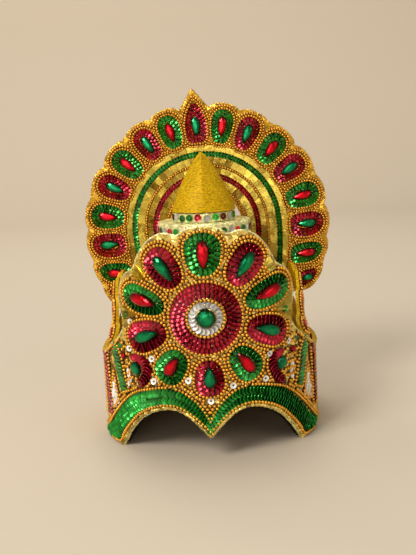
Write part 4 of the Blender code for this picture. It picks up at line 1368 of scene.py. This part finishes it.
class CROWN_OT_panel_sequins(bpy.types.Operator):
    """Sews the overlapping sequins on the front panel"""

    bl_idname = "crown.panel_sequins"
    bl_label = "Panel sequins"

    def execute(self, context):
        rows = {"crimson": [], "green": [], "silver": []}
        self.rosette(rows)
        self.band(rows)
        for side in (-1, 1):
            self.motifs(rows, side)
        rows["green"].append(np.array(single_spots(GREEN_SPOTS)))
        spots, holed = single_spots(WHITE_SPOTS), sequin_pattern(sides=12, hole=0.16)
        set_out("single_sequins", holed, spots, Wall.place, 45, "white_sequins", (0.2, 0.1), 0.2)
        pads_for_shade_and_thread("singles", spots, Wall.place, 45, 4.4 * MM)
        sequin = sequin_pattern()
        for seed, colour in enumerate(rows, 41):
            spots, finish = np.vstack(rows[colour]), colour + "_sequins"
            set_out("sequins_" + colour, sequin, spots, Wall.place, seed, finish, LAID, 0.55)
        leaf = sequin_pattern(sides=8, narrow=0.58, cup=0.09, hole=0.05)
        set_out("leaf_sequins", leaf, self.leaves(), Wall.place, 44, "white_sequins", (0.1, 0.08))
        return {"FINISHED"}

    def rosette(self, rows):
        """Rings of the disc, rounds of the petals and the ring at the centre stone."""
        size, tip = sizes().sequin, sizes().tip
        pitch = size * 0.6
        for radius, height in DISC_RINGS:
            path = ring_line(ROSETTE, radius * MM)
            rows["crimson"].append(spots_on(path, pitch * 0.94, True, height * MM, tip, size * 0.86))
        other = {"red": "green", "green": "crimson"}
        for index, petal in enumerate(ROSETTE_PETALS):
            for inset, height in PETAL_ROUNDS:
                path = rosette_petal(index, inset * MM)
                rows[other[petal[-1]]].append(spots_on(path, pitch, True, height * MM, tip, size))
        rows["silver"].append(spots_on(ring_line(ROSETTE, 9.9 * MM), 3.1 * MM, True, 1.2 * MM, tip, 5.2 * MM))

    def band(self, rows):
        """Rows along the band over the arches."""
        size, tip = sizes().band_sequin, sizes().tip
        low, high = band_lines()
        for share, height in BAND_ROUNDS:
            spots = spots_on(share_line(low, high, share), size * 0.41, False, height * MM, tip, size)
            if share == BAND_MIDDLE:
                spots = spots[np.abs(spots[:, 0]) > BAND_MIDDLE_FROM]
            rows["green"].append(spots)

    def motifs(self, rows, side):
        """The green strip, the crimson stripe and the crescent of one side."""
        tip = sizes().tip
        rows["green"].append(tapered(strip_line(side), 1.7 * MM, tip, (0, 0.3, 1), (5.4, 10, 9)))
        path = side_line(SIDE_STRIPE[side], side)
        rows["crimson"].append(spots_on(path, 3.0 * MM, False, 2.3 * MM, tip, 7.4 * MM))
        path = smooth_line(CRESCENTS[side])
        rows["crimson"].append(tapered(path, 1.5 * MM, tip, (0, 0.4, 0.7, 1), (6, 9.4, 9.4, 7)))

    def leaves(self):
        """The white leaves of both sides."""
        spots = []
        for side in (-1, 1):
            for u, v, turn, length in LEAVES:
                heading = math.radians(turn if side > 0 else 180 - turn)
                arc = side * (u - LEFT_SHIFT * (side < 0)) * MM
                spots.append((arc, v * MM, 1.5 * MM, heading, 0.12, length * MM))
        return spots


# The halo's trimmings.


def halo_arc(radius, keep):
    """A ring of the halo as far down as the card goes."""
    angles = np.arange(-140, 140.01, 0.5)
    points = halo_map(np.full(len(angles), radius), angles)
    good = keep(points)
    middle = len(angles) // 2
    left = middle
    while left > 0 and good[left - 1]:
        left -= 1
    right = middle
    while right < len(angles) - 1 and good[right + 1]:
        right += 1
    return points[left : right + 1], angles[left : right + 1]


def ribbon_point(inner, outer, angle, share):
    """A flat point on a ribbon: share runs from its inner to its outer edge."""
    return halo_map(np.array([inner + (outer - inner) * share]) * MM, np.array([angle]))


def pleats(name, spot, start, end, pleat, place, seed, lift=1.0):
    """Film folded over and over: spot takes a place along the row and a share across it."""
    chance = np.random.RandomState(seed)
    columns = []
    at = start
    while at < end - pleat * 0.1:
        wide = pleat * chance.uniform(0.6, 1.5)
        rise = chance.uniform(0.35, 1.0) * lift
        # Each fold's random shade number places its tone between painted shade and painted light.
        tilt, shade = chance.uniform(-0.35, 0.35), chance.uniform(0, 1)
        fold = ((0.0, 0.3), (0.3, 0.42 + 0.2 * rise), (0.7, 0.5 + 0.6 * rise), (0.97, 0.6 + 0.9 * rise))
        for share, height in fold:
            columns.append((min(at + wide * share, end), height, tilt, shade))
        at += wide
    rows = 5
    flat, shades = [], []
    for under in (False, True):
        for along, height, tilt, shade in columns:
            for k in range(rows):
                share = k / (rows - 1)
                u, v = np.ravel(spot(along + (share - 0.5) * tilt * pleat * 0.25, share))
                depth = 0.05 if under else max(height + 0.7 * tilt * (share - 0.5), 0.15)
                flat.append((u, v, depth * MM))
                shades.append(shade)
    faces = []
    last = (len(columns) - 1) * rows
    half = len(columns) * rows
    for a in range(0, last, rows):
        b = a + rows
        for k in range(rows - 1):
            faces.append((a + k, a + k + 1, b + k + 1, b + k))
            faces.append((half + a + k, half + b + k, half + b + k + 1, half + a + k + 1))
        faces.append((a, b, half + b, half + a))
        a, b = a + rows - 1, b + rows - 1
        faces.append((b, a, half + a, half + b))
    for k in range(rows - 1):
        faces.append((k, half + k, half + k + 1, k + 1))
        faces.append((last + k + 1, half + last + k + 1, half + last + k, last + k))
    obj = make_object(name, place(*np.array(flat).T), faces)
    mark(obj, "shade", shades)
    face_outwards(obj)
    smooth(obj, 12)
    dress(obj, "halo_ribbon", "gold_foil_card")


class CROWN_OT_halo_trim(bpy.types.Operator):
    """Lays the pleated ribbons, bead rows and sequin rings on the halo"""

    bl_idname = "crown.halo_trim"
    bl_label = "Halo trimmings"

    def execute(self, context):
        keep = inside(front_rim("halo", halo_flat), 1.2 * MM)
        for k, (inner, outer, pleat) in enumerate(RIBBONS):
            _, low = halo_arc(inner * MM, keep)
            _, high = halo_arc(outer * MM, keep)
            start, end = max(low[0], high[0]), min(low[-1], high[-1])
            name, spot = f"ribbon_{k + 1}", partial(ribbon_point, inner, outer)
            pleats(name, spot, start, end, pleat, halo_place, 50 + k)
        self.beads(keep)
        self.sequins(keep)
        return {"FINISHED"}

    def beads(self, keep):
        work = Beadwork(sizes().halo_bead, HALO_STEP, 1.2 * MM)
        petals = [halo_petal(index, side) for index, side in HALO_SIDES]

        def outside(points):
            found = keep(points)
            for petal in petals:
                found &= ~within(points, petal)
            return found

        for radius in HALO_BEAD_RINGS:
            work.sew(halo_arc(radius * MM, keep)[0], False, keep, 0.8)
        for petal in petals:
            work.sew(petal, True, keep, 0.8)
        work.sew(halo_arc(HALO_FOOT_RING * MM, keep)[0], False, outside, 0.75)
        for petal in petals:
            work.sew(inset_line(petal, -2.35 * MM), True, outside, 0.8)
        work.finish("halo", halo_place, 61, 64, HALO_BED)

    def sequins(self, keep):
        size, tip = sizes().halo_sequin, sizes().tip
        rows = {"crimson": [], "green": []}
        for radius, colour in HALO_SEQUIN_RINGS:
            path = halo_arc(radius * MM, keep)[0]
            rows[colour].append(spots_on(path, size * 0.56, False, 1.2 * MM, tip, size))
        for index, side in HALO_SIDES:
            colour = "green" if index % 2 else "crimson"
            # The lowest petals have room for one round of smaller sequins.
            last = index == LAST_PETAL
            wide = size * (0.8 if last else 1.0)
            for inset, height in HALO_ROUNDS[1:] if last else HALO_ROUNDS:
                path = halo_petal(index, side, inset * MM)
                rows[colour].append(spots_on(path, wide * 0.66, True, height * MM, tip, wide))
        pattern = sequin_pattern()
        for seed, colour in enumerate(rows, 62):
            name, finish = "halo_sequins_" + colour, colour + "_sequins"
            set_out(name, pattern, np.vstack(rows[colour]), halo_place, seed, finish, LAID, 0.45)


# Wings and tiers.


class CROWN_OT_wing_trim(bpy.types.Operator):
    """Sews beads and sequins on the two scalloped wings"""

    bl_idname = "crown.wing_trim"
    bl_label = "Wing trimmings"

    def execute(self, context):
        pattern = sequin_pattern()
        lobes = [even(np.array(lobe) * MM, FINE, True) for lobe in WING_LOBES]
        for side, label in ((-1, "wing_left"), (1, "wing_right")):
            place = wing_place(side)
            work = Beadwork(sizes().bead * 0.92, WING_STEP)
            for lobe in lobes:
                work.sew(lobe, room=0.8)
            work.finish(label, place, 71 + side, 73 + side, WING_BED)
            spots = []
            for lobe in lobes:
                line = inset_line(lobe, 3.2 * MM)
                spots.append(spots_on(line, 2.5 * MM, True, 1.2 * MM, sizes().tip, 4.8 * MM))
            name, seed = "sequins_" + label, 75 + side
            set_out(name, pattern, np.vstack(spots), place, seed, "crimson_sequins", LAID, 0.62)
        return {"FINISHED"}


class CROWN_OT_tier_trim(bpy.types.Operator):
    """Sews single sequins round the drum and the collar"""

    bl_idname = "crown.tier_trim"
    bl_label = "Tier sequins"

    def execute(self, context):
        pattern = sequin_pattern()
        for tier, (radius, _, top), drop, count, first, size, order in TIERS:
            place = cylinder_place(radius)
            for turn, colour in enumerate(order):
                spots = []
                for k in range(turn, count, len(order)):
                    arc = first * MM + 2 * math.pi * radius * k / count
                    height = top - drop * MM + 0.4 * MM * math.sin(k * 2.3)
                    spots.append((arc, height, 0.7 * MM, k * 1.3, 0.08, size * MM))
                name, finish = f"sequins_{tier}_{colour}", colour + "_sequins"
                set_out(name, pattern, spots, place, 81 + turn, finish, (0.1, 0.05), slot="gold_foil")
        return {"FINISHED"}


# Stones.


def pear(length, width, sides, point=0.62):
    """A pear outline, pointed at its inner end: (along, across)."""
    turn = 2 * math.pi * (np.arange(sides) + 0.5) / sides
    taper = ((1 + np.cos(turn)) / 2) ** point * 0.85 + 0.15
    return np.column_stack([length / 2 * np.cos(turn), width / 2 * np.sin(turn) * (0.35 + 0.83 * taper)])


def cut_stone(name, outline, rise):
    """A flat-backed stone: a girdle, two rows of facets and a table."""
    deselect()
    bpy.ops.mesh.primitive_circle_add(vertices=len(outline), radius=1.0, fill_type="NGON")
    obj = bpy.context.object
    obj.name = name
    for vertex, (a, b) in zip(obj.data.vertices, outline):
        vertex.co = (a, b, 0)
    edit()
    for lift, scale in ((0.3, 1.0), (0.36, 0.86), (0.26, 0.7), (0.08, 0.45)):
        pull_faces(rise * lift)
        scale_by(scale, scale)
    close_up()
    deselect()
    # The core mark is painted light: 0 at the girdle for painted shade, 1 at the table for painted glow.
    share = points_of(obj)[:, 2] / rise
    mark(obj, "core", np.interp(share, (0.3, 0.66, 0.92, 1), (0, 0.12, 0.6, 1)))
    return obj


def set_stone(obj, place, u, v, heading, colour, node, height=1.2):
    """Stands a stone on a card with its long axis along the heading; the height is in mm."""
    u, v, h = (np.array([value]) for value in (u, v, height * MM))
    origin = place(u, v, h)[0]
    along = Vector(place(u + NUDGE, v, h)[0] - place(u - NUDGE, v, h)[0]).normalized()
    out = Vector(place(u, v, h + NUDGE)[0] - origin).normalized()
    up = out.cross(along)
    first = along * math.cos(heading) + up * math.sin(heading)
    turn = Matrix((first, out.cross(first), out)).transposed().to_4x4()
    obj.data.transform(Matrix.Translation(Vector(origin)) @ turn)
    dress(obj, colour + "_acrylic", colour + "_stone", node)


class CROWN_OT_stones(bpy.types.Operator):
    """Cuts and sets the stones of the panel and the halo"""

    bl_idname = "crown.stones"
    bl_label = "Stones"

    def execute(self, context):
        for number, (angle, outer, _, length, colour) in enumerate(ROSETTE_PETALS, 1):
            u, v = rosette_point(angle, (PETAL_INNER + outer * MM) / 2 - 0.4 * MM, 0.0)
            obj = cut_stone(f"cut_rosette_{number:02d}", pear(length * MM, 9.6 * MM, 14), 3.8 * MM)
            set_stone(obj, Wall.place, u, v, math.radians(90 - angle), colour, f"rosette_stone_{number:02d}")
        obj = cut_stone("cut_centre", ring_line((0, 0), 6.9 * MM)[::10], 3.8 * MM)
        set_stone(obj, Wall.place, *ROSETTE, 0.0, "green", "centre_stone")
        for side, label in ((-1, "left"), (1, "right")):
            u, v = CORNER_STONE
            obj = cut_stone("cut_corner_" + label, pear(11.4 * MM, 8.8 * MM, 12, 0.3), 3 * MM)
            turn = math.radians(90 - side * 40)
            set_stone(obj, Wall.place, side * u * MM, v * MM, turn, "green", "corner_stone_" + label)
            u, v = SIDE_STONE
            obj = cut_stone("cut_side_" + label, ring_line((0, 0), 2.7 * MM)[::12], 2.4 * MM)
            set_stone(obj, Wall.place, side * u * MM, v * MM, 0.0, "red", "side_stone_" + label)
        for number, (index, side) in enumerate(HALO_SIDES, 1):
            radius, length, width = HALO_STONE_RADIUS, 17 * MM, 8 * MM
            if index == LAST_PETAL:
                inner = HALO_PETAL_INNER + END_CUT[side]
                radius = (inner + HALO_PETAL_OUTER) / 2
                length = (HALO_PETAL_OUTER - HALO_PETAL_INNER - END_CUT[side]) * 0.52
                width = length * 0.62
            here, ahead = (halo_map(radius + r, side * HALO_PETALS[index][0]) for r in (0, 4 * MM))
            turn = math.atan2(ahead[1] - here[1], ahead[0] - here[0])
            obj = cut_stone(f"cut_halo_{number:02d}", pear(length, width, 12), 2.9 * MM)
            colour, node = "red" if index % 2 else "green", f"halo_stone_{number:02d}"
            set_stone(obj, halo_place, *here, turn, colour, node, 1.0)
        return {"FINISHED"}


# Stage.


class CROWN_OT_stage(bpy.types.Operator):
    """Sets up the floor, the lights and the camera"""

    bl_idname = "crown.stage"
    bl_label = "Stage"

    def execute(self, context):
        self.floor()
        self.lights()
        self.camera(context)
        return {"FINISHED"}

    def floor(self):
        """A matt painted sweep: a flat floor that curves up all round."""
        flat, bend = 1.7, 0.7
        rows = [(0.4, 0.0), (1.2, 0.0), (flat, 0.0)]
        for turn in (math.pi / 2 * k / 12 for k in range(1, 13)):
            rows.append((flat + bend * math.sin(turn), bend * (1 - math.cos(turn))))
        rows.append((2.42, 1.15))
        deselect()
        bpy.ops.mesh.primitive_circle_add(vertices=96, radius=rows[0][0], fill_type="NGON")
        obj = bpy.context.object
        obj.name = "sweep"
        edit("DESELECT")
        bpy.ops.mesh.select_mode(type="EDGE")
        bpy.ops.mesh.select_non_manifold()
        for (w0, z0), (w1, z1) in zip(rows, rows[1:]):
            pull_edges(z1 - z0)
            scale_by(w1 / w0, w1 / w0)
        bpy.ops.mesh.select_mode(type="VERT")
        bpy.ops.object.mode_set(mode="OBJECT")
        smooth(obj, 60)
        obj.data.materials.append(plain_material("painted_sweep", "floor"))

    def lights(self):
        world = bpy.data.worlds.new("studio")
        bpy.context.scene.world = world
        world.use_nodes = True
        back = world.node_tree.nodes["Background"]
        back.inputs["Color"].default_value = linear(HEXES["daylight"])
        back.inputs["Strength"].default_value = 0.4
        for name, spot, size, energy, colour in LAMPS:
            data = bpy.data.lights.new(name, "AREA")
            data.shape = "SQUARE"
            data.size = size
            data.energy = energy
            data.color = linear(colour)[:3]
            lamp = add_object(name, data)
            lamp.location = spot
            goal = Vector((0, 2.3, 0.45)) if name == "backdrop" else Vector((0, 0, 0.13))
            lamp.rotation_euler = (goal - Vector(spot)).to_track_quat("-Z", "Y").to_euler()

    def camera(self, context):
        """The photograph's view, from a fit to the crown's measured points."""
        pitch, roll, yaw = (math.radians(angle) for angle in CAMERA_TURN)
        c, s = math.cos(yaw), math.sin(yaw)
        x = CAMERA_AWAY * s + CAMERA_ACROSS * c
        y = CAMERA_ACROSS * s - CAMERA_AWAY * c
        spot = Vector((x, y, CAMERA_HEIGHT))
        ahead = Vector((-s * math.cos(pitch), c * math.cos(pitch), -math.sin(pitch)))
        right = ahead.cross(Vector((0, 0, 1))).normalized()
        up = right.cross(ahead)
        across = right * math.cos(roll) - up * math.sin(roll)
        upright = right * math.sin(roll) + up * math.cos(roll)
        data = bpy.data.cameras.new("camera")
        data.sensor_width = SENSOR
        data.lens = CAMERA_PIXELS / FRAME_HEIGHT * SENSOR
        data.clip_start = 0.05
        lens = add_object("camera", data)
        turn = Matrix((across, upright, -ahead)).transposed().to_4x4()
        lens.matrix_world = Matrix.Translation(spot) @ turn
        context.scene.camera = lens
        context.scene.view_settings.view_transform = "Standard"


# Sidebar and start.


OPERATORS = (
    CROWN_OT_stage,
    CROWN_OT_foil_cards,
    CROWN_OT_cloth,
    CROWN_OT_panel_edges,
    CROWN_OT_panel_beads,
    CROWN_OT_panel_sequins,
    CROWN_OT_halo_trim,
    CROWN_OT_wing_trim,
    CROWN_OT_tier_trim,
    CROWN_OT_stones,
)


class CROWN_PT_sidebar(bpy.types.Panel):
    """Lists the crown's pieces"""

    bl_idname = "CROWN_PT_sidebar"
    bl_label = "Dance crown"
    bl_space_type = "VIEW_3D"
    bl_region_type = "UI"
    bl_category = "Crown"

    def draw(self, context):
        for settings in (context.scene.crown_sizes, context.scene.crown_colours):
            for key in settings.bl_rna.properties.keys():
                if key not in ("name", "rna_type"):
                    self.layout.prop(settings, key)
        for operator in OPERATORS:
            self.layout.operator(operator.bl_idname)


CLASSES = (CrownSizes, CrownColours, *OPERATORS, CROWN_PT_sidebar)


def register():
    for item in CLASSES:
        bpy.utils.register_class(item)
    bpy.types.Scene.crown_sizes = bpy.props.PointerProperty(type=CrownSizes)
    bpy.types.Scene.crown_colours = bpy.props.PointerProperty(type=CrownColours)


def unregister():
    del bpy.types.Scene.crown_sizes
    del bpy.types.Scene.crown_colours
    for item in reversed(CLASSES):
        bpy.utils.unregister_class(item)


def main():
    register()
    for operator in OPERATORS:
        group, name = operator.bl_idname.split(".")
        getattr(getattr(bpy.ops, group), name)()


if __name__ == "__main__":
    main()
